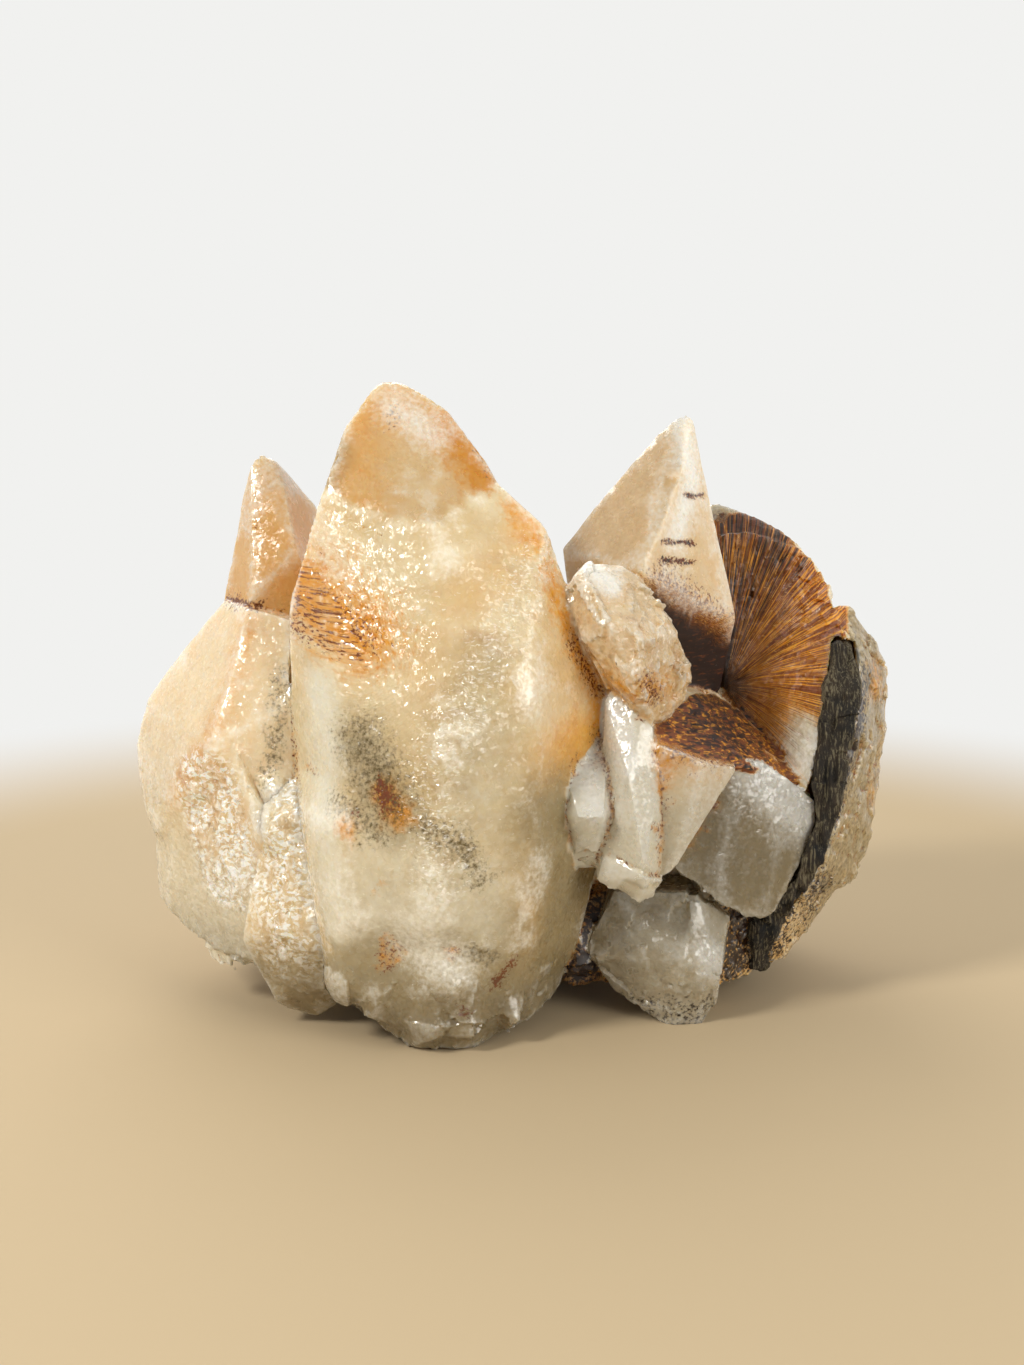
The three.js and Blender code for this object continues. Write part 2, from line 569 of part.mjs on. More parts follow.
const pieces = [
  ['calcite_cluster', calciteSolid(), CALCITE],
  ['host_rock_seam', trimmedAtFloor(seamRock(0)), HOST_ROCK],
];

const dogtoothCalcite = new THREE.Group();
for (const [name, solid, material] of pieces) {
  const mesh = new THREE.Mesh(geometryOf(solid), material);
  mesh.name = name;
  dogtoothCalcite.add(mesh);
}

// The origin goes to the middle of the whole cluster's box
const box = new THREE.Box3().setFromObject(dogtoothCalcite);
const middle = box.getCenter(new THREE.Vector3());
for (const mesh of dogtoothCalcite.children) {
  mesh.position.set(-middle.x, -middle.y, 0);
}

export default dogtoothCalcite;
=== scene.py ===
# %% [markdown]
# # Dogtooth calcite, cell by cell
# The real thing is a hand-sized cluster of calcite crystals that grew into each other: pointed
# "dogteeth", blocky cleavage crystals and one hollow, rust-stained face. A dark seam of host
# rock is still caught between two of them.
#
# The CAD model comes in as a fixed frame. It has the true shape and size of every crystal, but
# perfectly flat faces. This lesson grows the natural surface on it: worn edges, growth lines,
# etched faces and a broken underside, and then the stone's colours and its see-through glow.

# %% The fixed frame
import math
import bmesh
import bpy
import numpy as np
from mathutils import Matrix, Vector
from mathutils.bvhtree import BVHTree


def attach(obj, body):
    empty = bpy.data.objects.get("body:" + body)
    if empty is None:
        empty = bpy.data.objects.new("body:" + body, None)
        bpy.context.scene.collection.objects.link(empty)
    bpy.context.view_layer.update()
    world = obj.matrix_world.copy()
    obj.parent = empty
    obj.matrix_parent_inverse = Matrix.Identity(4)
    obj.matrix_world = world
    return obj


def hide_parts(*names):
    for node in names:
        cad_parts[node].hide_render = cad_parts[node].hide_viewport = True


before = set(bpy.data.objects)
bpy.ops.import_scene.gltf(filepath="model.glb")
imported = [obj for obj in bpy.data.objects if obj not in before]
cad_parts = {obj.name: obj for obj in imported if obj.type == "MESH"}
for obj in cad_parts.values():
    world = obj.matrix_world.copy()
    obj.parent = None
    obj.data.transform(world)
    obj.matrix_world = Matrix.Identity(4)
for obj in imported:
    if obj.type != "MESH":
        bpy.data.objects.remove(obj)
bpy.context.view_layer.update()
MM = 0.001

# %% [markdown]
# ## The camera
# A hand-sized stone is photographed from about a forearm away, looking a little down. A camera
# could be aimed with a constraint, but a place and a tilt in numbers are easier to check. The
# sensor size stands for the long side of a tall picture.

# %% Camera
def in_scene(name, data):
    """A new object with this data, linked into the scene."""
    thing = bpy.data.objects.new(name, data)
    bpy.context.scene.collection.objects.link(thing)
    return thing


CAMERA_PLACE_MM = (-0.55, -346.35, 120.8)
CAMERA_DOWN = 11
SENSOR_MM = 36
FOCAL_PX = 2051
PICTURE_HEIGHT_PX = 1365

camera_data = bpy.data.cameras.new("camera")
camera_data.sensor_width = SENSOR_MM
camera_data.lens = SENSOR_MM * FOCAL_PX / PICTURE_HEIGHT_PX
camera = in_scene("camera", camera_data)
camera.location = Vector(CAMERA_PLACE_MM) * MM
camera.rotation_euler = (math.radians(90 - CAMERA_DOWN), 0, 0)
bpy.context.scene.camera = camera
print("lens in mm:", round(camera_data.lens, 1))

# %% [markdown]
# ## Small helpers
# Screens store colours in sRGB, and a renderer counts light in linear steps, so one function
# turns a hex colour into linear numbers. One more adds a shader node with its settings and its
# links, which keeps every material below short enough to read.

# %% Colour and node helpers
def linear(hex_colour):
    """A colour such as "#E9DCC3" as the four linear numbers that a shader takes."""
    parts = [int(hex_colour[place:place + 2], 16) / 255 for place in (1, 3, 5)]
    return [p / 12.92 if p <= 0.04045 else ((p + 0.055) / 1.055) ** 2.4 for p in parts] + [1]


def add(tree, kind, settings=None, **sockets):
    """A new node. A socket gets a value, or a link if it is given another node's output."""
    node = tree.nodes.new("ShaderNode" + kind)
    for name, value in (settings or {}).items():
        setattr(node, name, value)
    for name, value in sockets.items():
        wanted = name.replace("_", " ")
        socket = node.inputs[int(name[1:])] if name[1:].isdigit() else node.inputs[wanted]
        if isinstance(value, bpy.types.NodeSocket):
            tree.links.new(value, socket)
        else:
            socket.default_value = value
    return node


def new_material(name):
    """An empty material and its tree."""
    material = bpy.data.materials.new(name)
    material.use_nodes = True
    material.node_tree.nodes.clear()
    return material, material.node_tree

# %% [markdown]
# ## Floor and light
# A stone is best judged on a plain pale surface in soft light. The floor is a large matt sheet.
# One big soft lamp stands to the upper left, a weaker one fills from the right, and a bright
# pale surround shines in from behind. That last one matters most for calcite: light that
# enters at the back comes out at the thin tips and edges, and makes them glow.

# %% Surround
SURROUND = "#F1F1EF"
SURROUND_FRONT = 0.42    # less light from the front half of the room keeps the faces from going flat
SURROUND_BACK = 1.0
RISE_FROM = -0.6         # where the rise begins and ends, from -1 in front to 1 behind
RISE_TO = 0.7


def surround_strength(tree, direction):
    """How bright the room is that way: it rises from the front, -y, to the back."""
    parts = add(tree, "SeparateXYZ", Vector=direction)
    return add(tree, "MapRange", {"interpolation_type": "SMOOTHSTEP"}, Value=parts.outputs["Y"],
               From_Min=RISE_FROM, From_Max=RISE_TO, To_Min=SURROUND_FRONT,
               To_Max=SURROUND_BACK).outputs[0]


world = bpy.data.worlds.new("surround")
world.use_nodes = True
world.node_tree.nodes.clear()
way = add(world.node_tree, "TexCoord").outputs["Generated"]
sky = add(world.node_tree, "Background", Color=linear(SURROUND),
          Strength=surround_strength(world.node_tree, way))
add(world.node_tree, "OutputWorld", Surface=sky.outputs[0])
bpy.context.scene.world = world
bpy.context.scene.view_settings.view_transform = "Standard"
print("surround from", SURROUND_FRONT, "in front to", SURROUND_BACK, "behind")

# %% Floor
FLOOR_RADIUS_MM = 2500
FLOOR_SIDES = 64
FADE_FROM_MM = 145    # past here the sheet begins to fade into the bright surround
FADE_TO_MM = 250

floor_mesh = bpy.data.meshes.new("floor")
builder = bmesh.new()
bmesh.ops.create_circle(builder, cap_ends=True, segments=FLOOR_SIDES, radius=FLOOR_RADIUS_MM * MM)
builder.to_mesh(floor_mesh)
builder.free()
floor = in_scene("floor", floor_mesh)
material, tree = new_material("matt_card")
place = add(tree, "TexCoord").outputs["Object"]
distance = add(tree, "VectorMath", {"operation": "LENGTH"}, _0=place).outputs["Value"]
way = add(tree, "VectorMath", {"operation": "NORMALIZE"}, _0=place).outputs["Vector"]
fade = add(tree, "MapRange", {"interpolation_type": "SMOOTHSTEP"}, Value=distance,
           From_Min=FADE_FROM_MM * MM, From_Max=FADE_TO_MM * MM).outputs[0]
card = add(tree, "BsdfPrincipled", Base_Color=linear("#B5A282"), Roughness=0.8)
glow = add(tree, "Emission", Color=linear(SURROUND), Strength=surround_strength(tree, way))
blend = add(tree, "MixShader", _0=fade, _1=card.outputs[0], _2=glow.outputs[0])
add(tree, "OutputMaterial", Surface=blend.outputs[0])
floor_mesh.materials.append(material)
print("floor radius in mm:", FLOOR_RADIUS_MM)

# %% Lamps
LAMPS = {
    # name: place in mm, watts, side in mm, colour
    "key": ((-420, -330, 480), 3.1, 150, "#FFFBF4"),
    "fill": ((480, -420, 260), 2.6, 400, "#FFFBF4"),
    "rim": ((-120, 420, 420), 1.5, 400, "#FFF8EE"),
}
LOOK_AT = Vector((0, 0, 50)) * MM

for name, (place, watts, side, colour) in LAMPS.items():
    lamp_data = bpy.data.lights.new(name, "AREA")
    lamp_data.energy = watts
    lamp_data.size = side * MM
    lamp_data.color = linear(colour)[:3]
    lamp = in_scene(name, lamp_data)
    lamp.location = Vector(place) * MM
    lamp.rotation_euler = (LOOK_AT - lamp.location).to_track_quat("-Z", "Y").to_euler()
print("lamps:", len(LAMPS))

# %% [markdown]
# ## From flat faces to a fine mesh
# A face of the CAD model is one big flat polygon, with no points to move. Subdividing would
# keep its long thin triangles. A voxel remesh gives even small quads instead, but it rounds
# the edges, so a shrinkwrap then pulls every point back onto the true faces.

# %% Fine mesh
VOXEL_MM = 0.5
WELD_MM = 0.003


def bare_copy(node):
    """A copy of a CAD node's mesh, with its split corners welded and no material."""
    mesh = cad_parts[node].data.copy()
    mesh.materials.clear()
    builder = bmesh.new()
    builder.from_mesh(mesh)
    bmesh.ops.remove_doubles(builder, verts=builder.verts, dist=WELD_MM * MM)
    builder.to_mesh(mesh)
    builder.free()
    return in_scene(node + "_flat", mesh)


def applied(thing, name):
    """A new object whose mesh has the modifiers of the old one worked in."""
    graph = bpy.context.evaluated_depsgraph_get()
    mesh = bpy.data.meshes.new_from_object(thing.evaluated_get(graph))
    mesh.name = name
    bpy.data.objects.remove(thing)
    return in_scene(name, mesh)


def finely_meshed(node, voxel_mm, name):
    """A CAD node as an even fine mesh pulled back onto its true faces, and the flat model beside it."""
    flat = bare_copy(node)
    fine = in_scene(node + "_remeshed", flat.data.copy())
    remesh = fine.modifiers.new("remesh", "REMESH")
    remesh.mode = "VOXEL"
    remesh.voxel_size = voxel_mm * MM
    snap = fine.modifiers.new("snap", "SHRINKWRAP")
    snap.target = flat
    snap.wrap_method = "NEAREST_SURFACEPOINT"
    return applied(fine, name), flat


calcite, calcite_flat = finely_meshed("calcite_cluster", VOXEL_MM, "calcite_fine")
print("fine mesh:", len(calcite.data.vertices), "points")

# %% [markdown]
# ## Which crystal is which
# Each crystal is convex, so two crystals always meet in a crease that turns inwards. Walking
# over the flat model from face to face, and stopping at such creases, finds every crystal
# without drawing a single outline. One point on each is then enough to name it. Small chips
# that no name falls on take the name of the crystal they share most of their border with.

# %% Find the crystals
CREASE = math.radians(-4)
CRYSTALS = {
    # a point on each crystal's face, in mm
    "back": (0, 38, 20), "main_blade": (-8, -38, 40), "left_peak": (-42, -3, 80),
    "left_crystal": (-55, -10, 45), "left_foot": (-52, -14, 22), "left_chip": (-51, -11, 9),
    "corner_wedge": (-37, -26, 15), "right_dogtooth": (22, -8, 78), "clear_lump": (15, -27, 66),
    "spindle": (11, -30, 38), "middle_block": (20, -29, 40), "middle_step": (19, -29, 27),
    "stained_block": (27, -26, 38), "grey_block": (42, -18, 30), "roof": (33, -12, 47),
    "low_crystals": (29, -23, 12), "brown_back": (13, -15, 12), "grey_cap": (42, 17, 80),
    "outer_plate": (60, -2, 45), "fan": (43, 10, 68),
}
NAMES = list(CRYSTALS)
BLOCKY = ("spindle", "middle_block", "middle_step", "stained_block", "grey_block")
ALL_JOINED = "outer_plate"    # this one's crease-free surface runs on over the whole back
OUTER_PLATE_FROM = 50         # it is the plate only right of here
OUTER_PLATE_BEHIND = 12       # and only in front of here
CHIP_ROUNDS = 4               # how many small chips in a row can take their neighbour's name
TONE_STEPS = 2.5              # the finer the steps of direction, the more faces differ in tone
TONE_SEED = 5
FAN_HUB = (36.5, 52)    # right and up, in mm
FAN_DEEPEST = 18.5
FAN_RIM = [
    # right and up, round the hollow face
    (35, 79.5), (40.3, 81), (44, 80.5), (47.4, 78), (50, 75.8), (52.5, 73.5), (55, 70),
    (57, 66), (56.5, 61), (53, 57), (51.5, 50.5), (51, 44.5), (49, 38), (43, 43), (39, 47.5), (36, 52),
]


def surface_groups(mesh):
    """For each face of a mesh, the number of the crease-bounded surface it lies on; and each edge's
    length and faces.
    """
    builder = bmesh.new()
    builder.from_mesh(mesh)
    builder.faces.ensure_lookup_table()
    group = np.full(len(builder.faces), -1)
    count = 0
    for first in builder.faces:
        if group[first.index] >= 0:
            continue
        group[first.index] = count
        waiting = [first]
        while waiting:
            for edge in waiting.pop().edges:
                if edge.calc_face_angle_signed() < CREASE:
                    continue
                for face in edge.link_faces:
                    if group[face.index] < 0:
                        group[face.index] = count
                        waiting.append(face)
        count += 1
    borders = [(edge.calc_length(), *[face.index for face in edge.link_faces])
               for edge in builder.edges]
    builder.free()
    return group, borders


def search_tree(mesh):
    """A tree that finds the face of a mesh that is nearest to a place."""
    return BVHTree.FromPolygons([v.co for v in mesh.vertices], [p.vertices for p in mesh.polygons])


def crystal_finder(flat):
    """A function that gives, for points in mm, the number in NAMES of the crystal they are on."""
    tree = search_tree(flat.data)
    group, borders = surface_groups(flat.data)
    owner = np.full(group.max() + 1, -1)
    for number, seed in enumerate(CRYSTALS.values()):
        owner[group[tree.find_nearest(Vector(seed) * MM)[2]]] = number
    for _ in range(CHIP_ROUNDS):
        shared = np.zeros((len(owner), len(NAMES)))
        for length, one, other in borders:
            for here, there in ((group[one], group[other]), (group[other], group[one])):
                if owner[here] < 0 <= owner[there]:
                    shared[here, owner[there]] += length
        found = (owner < 0) & (shared.max(1) > 0)
        owner[found] = shared.argmax(1)[found]
    face_owner = owner[group]

    def crystal_at(points):
        found = [tree.find_nearest(Vector(point) * MM)[2] for point in points]
        who = face_owner[found]
        joined = who == NAMES.index(ALL_JOINED)
        plate = (points[:, 0] > OUTER_PLATE_FROM) & (points[:, 1] < OUTER_PLATE_BEHIND)
        who[joined & ~plate] = NAMES.index("back")
        hollow = inside(points[:, [0, 2]], FAN_RIM) & (points[:, 1] < FAN_DEEPEST)
        around = [NAMES.index(n) for n in ("back", "fan", "outer_plate", "grey_cap")]
        open_face = np.isin(who, around)
        who[hollow & open_face] = NAMES.index("fan")
        return who
    return crystal_at


def inside(flat_points, outline):
    """Which 2-D points lie inside an outline: a line to the right crosses it an odd number of times."""
    x, z = flat_points.T
    within = np.zeros(len(x), bool)
    for (x0, z0), (x1, z1) in zip(outline, outline[1:] + outline[:1]):
        if z0 != z1:
            within ^= ((z0 > z) != (z1 > z)) & (x < x0 + (z - z0) * (x1 - x0) / (z1 - z0))
    return within


def facet_tones(flat, points):
    """A random tone from -1 to 1 for each flat face, given to the points that lie on it."""
    tree = search_tree(flat.data)
    normals = np.array([tree.find_nearest(Vector(point) * MM)[1] for point in points])
    return hashed(np.round(normals * TONE_STEPS), TONE_SEED)


def round_hub(points):
    """The angle and the distance of each point from the hub of the fan, seen from the front."""
    right, up = (points[:, [0, 2]] - FAN_HUB).T
    return np.arctan2(up, right), np.hypot(up, right)


crystal_at = crystal_finder(calcite_flat)
print("crystals that can be told apart:", len(NAMES))

# %% [markdown]
# ## Noise made of numbers
# Natural surfaces need randomness that is smooth, and the same on every run. Blender's noise
# works on one point at a time, which is slow for a quarter of a million. With numpy, one line
# works on all of them at once: each corner of a lattice gets a random value from a hash of its
# whole-number place, and a point blends the values of the eight corners round it. In every
# call the number after the points is the size in millimetres, and the last one is the seed.

# %% Noise
PRIMES = (374761393, 668265263, 1274126177)
SEED_PRIME = 974711
MIXER = 1103515245
LOW_BITS = 0xFFFFFFFF
JITTER = 0.4        # how far a chip's seed strays from the middle of its cell, in cells
TILT_SEED = 7       # added to a seed, so that a chip's tilt has its own random numbers


def hashed(corner, seed):
    """A random number from -1 to 1 for each lattice corner, always the same one."""
    x, y, z = corner.astype(np.int64).T
    mixed = (x * PRIMES[0] + y * PRIMES[1] + z * PRIMES[2] + seed * SEED_PRIME) & LOW_BITS
    mixed = ((mixed ^ (mixed >> 13)) * MIXER) & LOW_BITS
    mixed = ((mixed ^ (mixed >> 16)) * PRIMES[0]) & LOW_BITS
    return (mixed >> 8) / 0x7FFFFF - 1


def noise(points, size, seed):
    """Smooth noise from about -1 to 1 over points in mm; size is the size of its lumps in mm."""
    scaled = points / size
    home = np.floor(scaled)
    fade = scaled - home
    fade = fade * fade * (3 - 2 * fade)
    total = np.zeros(len(points))
    for step in np.ndindex(2, 2, 2):
        weight = np.prod(np.where(step, fade, 1 - fade), axis=1)
        total += weight * hashed(home + step, seed)
    return total


def chipped(points, size, seed):
    """Flat chips: the space is shared out between random seeds, and each share tilts its own way."""
    scaled = points / size
    home = np.floor(scaled)
    nearest = np.full(len(points), np.inf)
    height = np.zeros(len(points))
    for step in np.ndindex(3, 3, 3):
        cell = home + step - 1
        jitter = np.stack([hashed(cell, seed + axis) for axis in range(3)], 1)
        away = scaled - cell - 0.5 - JITTER * jitter
        distance = (away * away).sum(1)
        tilt = np.stack([hashed(cell, seed + TILT_SEED + axis) for axis in range(3)], 1)
        closer = distance < nearest
        nearest[closer] = distance[closer]
        height[closer] = (away * tilt).sum(1)[closer]
    return height


def where(mask, relief, points, *settings):
    """The mask times a relief, which is worked out only where the mask isn't 0."""
    result = np.zeros(len(points))
    some = mask != 0
    result[some] = mask[some] * relief(points[some], *settings)
    return result


def smooth(value, low, high):
    """0 below low, 1 above high, and a soft step between."""
    part = np.clip((value - low) / (high - low), 0, 1)
    return part * part * (3 - 2 * part)


def sawtooth(value):
    """Rises from -0.5 to 0.5 over each whole number, and drops."""
    return value - np.floor(value) - 0.5


def strongest(*masks):
    """The strongest of a few masks at each point, between 0 and 1."""
    return np.clip(np.max(masks, axis=0), 0, 1)


def stroke(points, start, end, radius):
    """1 along a line seen from the front, between two (x, z) places, fading to 0 at the radius."""
    seen = points[:, [0, 2]]
    along = np.subtract(end, start)
    part = np.clip((seen - start) @ along / max(along @ along, 1e-9), 0, 1)
    distance = np.linalg.norm(seen - start - part[:, None] * along, axis=1)
    return 1 - smooth(distance, 0, radius)

# %% [markdown]
# ## The shape of wear and growth
# Four things happen to a crystal face. It grows in ledges and hillocks, it is etched, its edges
# wear and chip, and where the cluster broke off its bed it shows calcite's stepped cleavage.
# Each is a height in millimetres, added up and then moved along the normals. A displacement
# texture could do one of them, but only numbers can mix them by crystal and by place.

# %% Helpers that read and move a mesh
def read_out(items, field, width, kind=np.float32):
    """One row of numbers for each item of a mesh."""
    flat = np.empty(len(items) * width, kind)
    items.foreach_get(field, flat)
    return flat.reshape(-1, width)


def points_of(mesh):
    """A mesh's points in mm, one row each."""
    return read_out(mesh.vertices, "co", 3).astype(float) / MM


def put_points(mesh, points):
    """Gives the points back, in mm."""
    mesh.vertices.foreach_set("co", (points * MM).astype(np.float32).ravel())
    mesh.update()


def normals_of(mesh):
    """The way that the surface faces at each point."""
    return read_out(mesh.vertex_normals, "vector", 3).astype(float)


def edges_of(mesh):
    """The two points that each edge joins, by number."""
    return read_out(mesh.edges, "vertices", 2, np.int32)


def neighbour_mean(values, edges):
    """For each point, the mean of the values at the points it is joined to."""
    one, other = edges.T
    degree = np.bincount(edges.ravel(), minlength=len(values))
    total = np.stack([
        np.bincount(one, values[other, axis], len(values))
        + np.bincount(other, values[one, axis], len(values)) for axis in range(values.shape[1])], 1)
    return total / degree[:, None]


def relaxed(points, edges, rounds, share=0.5):
    """The points after each has moved towards its neighbours' mean, a few times."""
    for _ in range(rounds):
        points = points + (neighbour_mean(points, edges) - points) * share
    return points

# %% [markdown]
# ## Crisp edges
# The even mesh cuts every edge of the model off by a quarter of a millimetre, and cleaved
# calcite would look like soap. Points close beside an edge are therefore moved onto it. A
# search tree finds the nearest edge quickly: each goes in as a triangle with two equal corners.

# %% Snap to the edges
SNAP_MM = 0.26
FOLD = math.radians(15)


def snapped_to_edges(thing, flat):
    """Moves the points that lie beside an edge of the flat model onto it."""
    builder = bmesh.new()
    builder.from_mesh(flat.data)
    ends = [corner.co.copy() for edge in builder.edges
            if len(edge.link_faces) == 2 and edge.calc_face_angle() > FOLD
            for corner in edge.verts]
    builder.free()
    tree = BVHTree.FromPolygons(ends, [(n, n + 1, n + 1) for n in range(0, len(ends), 2)])
    points = points_of(thing.data)
    count = 0
    for number, point in enumerate(points):
        place = tree.find_nearest(Vector(point) * MM, SNAP_MM * MM)[0]
        if place is not None:
            points[number] = place / MM
            count += 1
    put_points(thing.data, points)
    print("points moved onto an edge:", count)


snapped_to_edges(calcite, calcite_flat)

# %% Soften the main blade
# The front of the real blade is one gently rounded face. Its root and the left crystal have no
# hard ridges either, so the facets there are relaxed. All the others are worn a little.
BLADE_ROUNDS = 70
ROOT_ROUNDS = 110
WEAR_ROUNDS = 3
EDGE_ROUNDS = 8

points = points_of(calcite.data)
edges = edges_of(calcite.data)
who = crystal_at(points)


def on(*names):
    """1 on the crystals with these names and 0 elsewhere."""
    return np.isin(who, [NAMES.index(name) for name in names]).astype(float)


x, y, z = points.T
soft = on("main_blade") * smooth(-y, 17, 24) * (1 - smooth(z, 72, 80)) * smooth(z, 5, 14)
soft = neighbour_mean(soft[:, None], edges)
points = relaxed(points, edges, BLADE_ROUNDS, soft * 0.5)
lumps = on("main_blade") * stroke(points, (-23, 12), (-7, 12), 13)
lumps += on("left_crystal") * stroke(points, (-55, 40), (-61, 29), 11)
points = relaxed(points, edges, ROOT_ROUNDS, lumps[:, None] * 0.5)
crisp = on(*BLOCKY, "low_crystals", "right_dogtooth", "left_peak", "corner_wedge", "left_crystal")
worn = relaxed(points, edges, WEAR_ROUNDS, (0.5 - 0.4 * crisp)[:, None])
put_points(calcite.data, worn)
normals = normals_of(calcite.data)
edge_height = ((points - relaxed(points, edges, EDGE_ROUNDS)) * normals).sum(1)
print("edges stand out by up to", round(edge_height.max(), 2), "mm")

# %% Growth relief
SHOULDER_SLOPE = math.radians(23)   # growth lines run down to the right over the left shoulder
SHOULDER_LEDGE_MM = 1.2
WAVES = [
    # height and width in mm, and the seed
    (0.28, 13, 1), (0.10, 4.5, 2), (0.045, 1.7, 3),
]
FAN_LINE_MM = 1.25                  # the real lines are finer still, and the material adds those
FAN_REACH_MM = 24
CRACKS = [
    # both ends of each, right and up
    ((24.5, 79), (30, 78.2)), ((24, 76.3), (30, 75)), ((28.5, 86), (32, 85.5)),
]

# Each relief starts with its height in mm, and its noise ends with a seed of its own
points = worn
x, y, z = points.T
height = sum(high * noise(points, wide, seed) for high, wide, seed in WAVES)
height *= 1 - 0.6 * on(*BLOCKY)

across = x * math.sin(SHOULDER_SLOPE) + z * math.cos(SHOULDER_SLOPE)
along = x * math.cos(SHOULDER_SLOPE) - z * math.sin(SHOULDER_SLOPE)
stretched = np.stack([along / 8, y / 8, across / 2], 1)
ledges = sawtooth(across / SHOULDER_LEDGE_MM + 0.55 * noise(stretched, 1, 11))
shoulder = on("main_blade") * stroke(points, (-33, 78), (-24, 62), 15)
height += 0.24 * shoulder * ledges

turn, reach = round_hub(points)
spoke = turn * FAN_REACH_MM
lines = sawtooth(spoke / FAN_LINE_MM + 0.5 * noise(np.stack([spoke, reach / 5, reach], 1), 4, 21))
height += 0.12 * on("fan") * lines * smooth(reach, 2, 12)

hatch = np.stack([(x + z) / 5, y / 3, (x - z) / 1.1], 1)
glitter_band = on("main_blade") * stroke(points, (4, 78), (-14, 46), 9)
height += 0.12 * glitter_band * noise(hatch, 1, 31)


def crinkled(points):
    """Where the left crystals are crinkled like foil, as seen from the front."""
    left = on("left_crystal", "left_foot") * stroke(points, (-51, 40), (-47, 24), 9)
    return smooth(left, 0.1, 0.5) + on("corner_wedge") * stroke(points, (-38, 38), (-37, 17), 12)


def cracked(points):
    """Where thin cracks cross the right dogtooth."""
    near = np.max([stroke(points, start, end, 1) for start, end in CRACKS], axis=0)
    return on("right_dogtooth") * near


foil = crinkled(points)
tilted_points = np.stack([(x + 0.6 * z) / 1.4, y / 1.4, (z - 0.6 * x) / 2.4], 1)
height += where(0.34 * foil, chipped, tilted_points, 1, 41) + where(0.12 * foil, noise, points, 0.9, 45)
frosted_band = on("main_blade") * stroke(points, (-27, 86), (-13, 83), 3)
height += 0.1 * frosted_band * noise(points, 1.2, 61)
trickle = np.stack([(x - 2 * z) / 1.3, y / 1.3, (2 * x + z) / 9], 1)
height += 0.2 * on("roof", "brown_back") * noise(trickle, 1, 42)
crest = on("fan", "grey_cap") * smooth(reach, 17, 23) * smooth(turn, 0.1, 0.4) * smooth(-turn, -1.3, -1)
height += where(0.7 * crest, chipped, points, 3.5, 43) + where(0.35 * crest, noise, points, 1.5, 44)
print("growth relief from", round(height.min(), 2), "to", round(height.max(), 2), "mm")

# %% Breaks, chips and worn edges
CLEAVAGE_NORMALS = [(0.83, 0.1, 0.55), (-0.5, 0.68, 0.54), (-0.33, -0.79, 0.52)]

under = smooth(-normals[:, 2], 0.25, 0.7) * (1 - smooth(z, 26, 40))
root = np.maximum(1 - smooth(z, 7, 15), under) * (1 - 0.7 * on("corner_wedge", "low_crystals"))
massive = on("back") * 0.8
broken = np.maximum(root * (1 - 0.55 * on("main_blade") * smooth(-normals[:, 1], 0.1, 0.6)), massive)
steps = np.zeros(len(points))
for number, normal in enumerate(CLEAVAGE_NORMALS):
    rise = points @ np.array(normal)
    steps += sawtooth(rise / (2.6 + 0.7 * number) + 0.8 * noise(points, 7, 71 + number))
front_root = on("main_blade") * smooth(-normals[:, 1], -0.2, 0.4)
height += broken * (1 - front_root) * 0.25 * steps
splintered = strongest(on("clear_lump") * 0.6, on("low_crystals") * 0.4, on("corner_wedge") * 0.1,
                       on("outer_plate") * 0.5, on("brown_back"), on("roof") * 0.3)
lump = on("clear_lump") * (1 - 0.8 * stroke(points, (12, 76), (15, 73), 4))
chips = [
    # how deep and where, then the chips' size in mm and the seed
    (0.95 * broken * (1 - front_root), 5.5, 81), (1.5 * broken * front_root, 6.5, 82),
    (0.12 * broken * (1 - front_root), 2.2, 91), (1.1 * splintered, 7, 51),
    (0.08 * splintered + 0.35 * on("outer_plate"), 2.6, 52),
    (0.12 * lump, 2.2, 53), (0.8 * lump * smooth(x, 17, 22), 3.2, 54),
]
for mask, size, seed in chips:
    height += where(mask, chipped, points, size, seed)
height += 3.2 * on("main_blade") * stroke(points, (-30, 36), (-27, 10), 9)   # lies against the wedge
height -= 1.7 * on("main_blade") * stroke(points, (-21, 16.5), (-11, 16.5), 7)
left_corner = on("corner_wedge", "left_crystal", "left_foot")
left_corner *= stroke(points, (-39.5, 39), (-39.5, 33), 4.5)
height += 2.4 * left_corner    # the crystals there grew shut against each other

sharp = smooth(edge_height, 0.05, 0.3)
bites = smooth(noise(points, 2.6, 101) + 0.5 * noise(points, 6, 102), 0.25, 0.8)
height -= sharp * (0.12 + 0.75 * bites) * (1 - 0.8 * crisp) + 0.35 * cracked(points)
grown = points + normals * height[:, None]
grown[:, 2] = np.maximum(grown[:, 2], 0)    # the feet stand on the floor
put_points(calcite.data, grown)
print("all relief from", round(height.min(), 2), "to", round(height.max(), 2), "mm")

# %% [markdown]
# ## Fewer triangles where they aren't needed
# The fine mesh has far more triangles than the finished piece may have. Decimation by collapse
# takes points away where the surface is nearly flat and keeps them along the creases. Faces
# that meet at a clear angle are then marked sharp, so that they catch the light as facets do.

# %% Decimate
MOST_TRIANGLES = 195000
SHARP_DEGREES = 30


def decimated(thing, most, name):
    """The object with at most so many triangles, shaded smooth but for its sharp edges."""
    thing.data.calc_loop_triangles()
    thin = thing.modifiers.new("thin", "DECIMATE")
    thin.ratio = min(1, most / len(thing.data.loop_triangles))
    made = applied(thing, name)
    made.data.polygons.foreach_set("use_smooth", [True] * len(made.data.polygons))
    made.data.set_sharp_from_angle(angle=math.radians(SHARP_DEGREES))
    made.data.calc_loop_triangles()
    print(name, "has", len(made.data.loop_triangles), "triangles")
    return made


calcite = decimated(calcite, MOST_TRIANGLES, "calcite_cluster_grown")
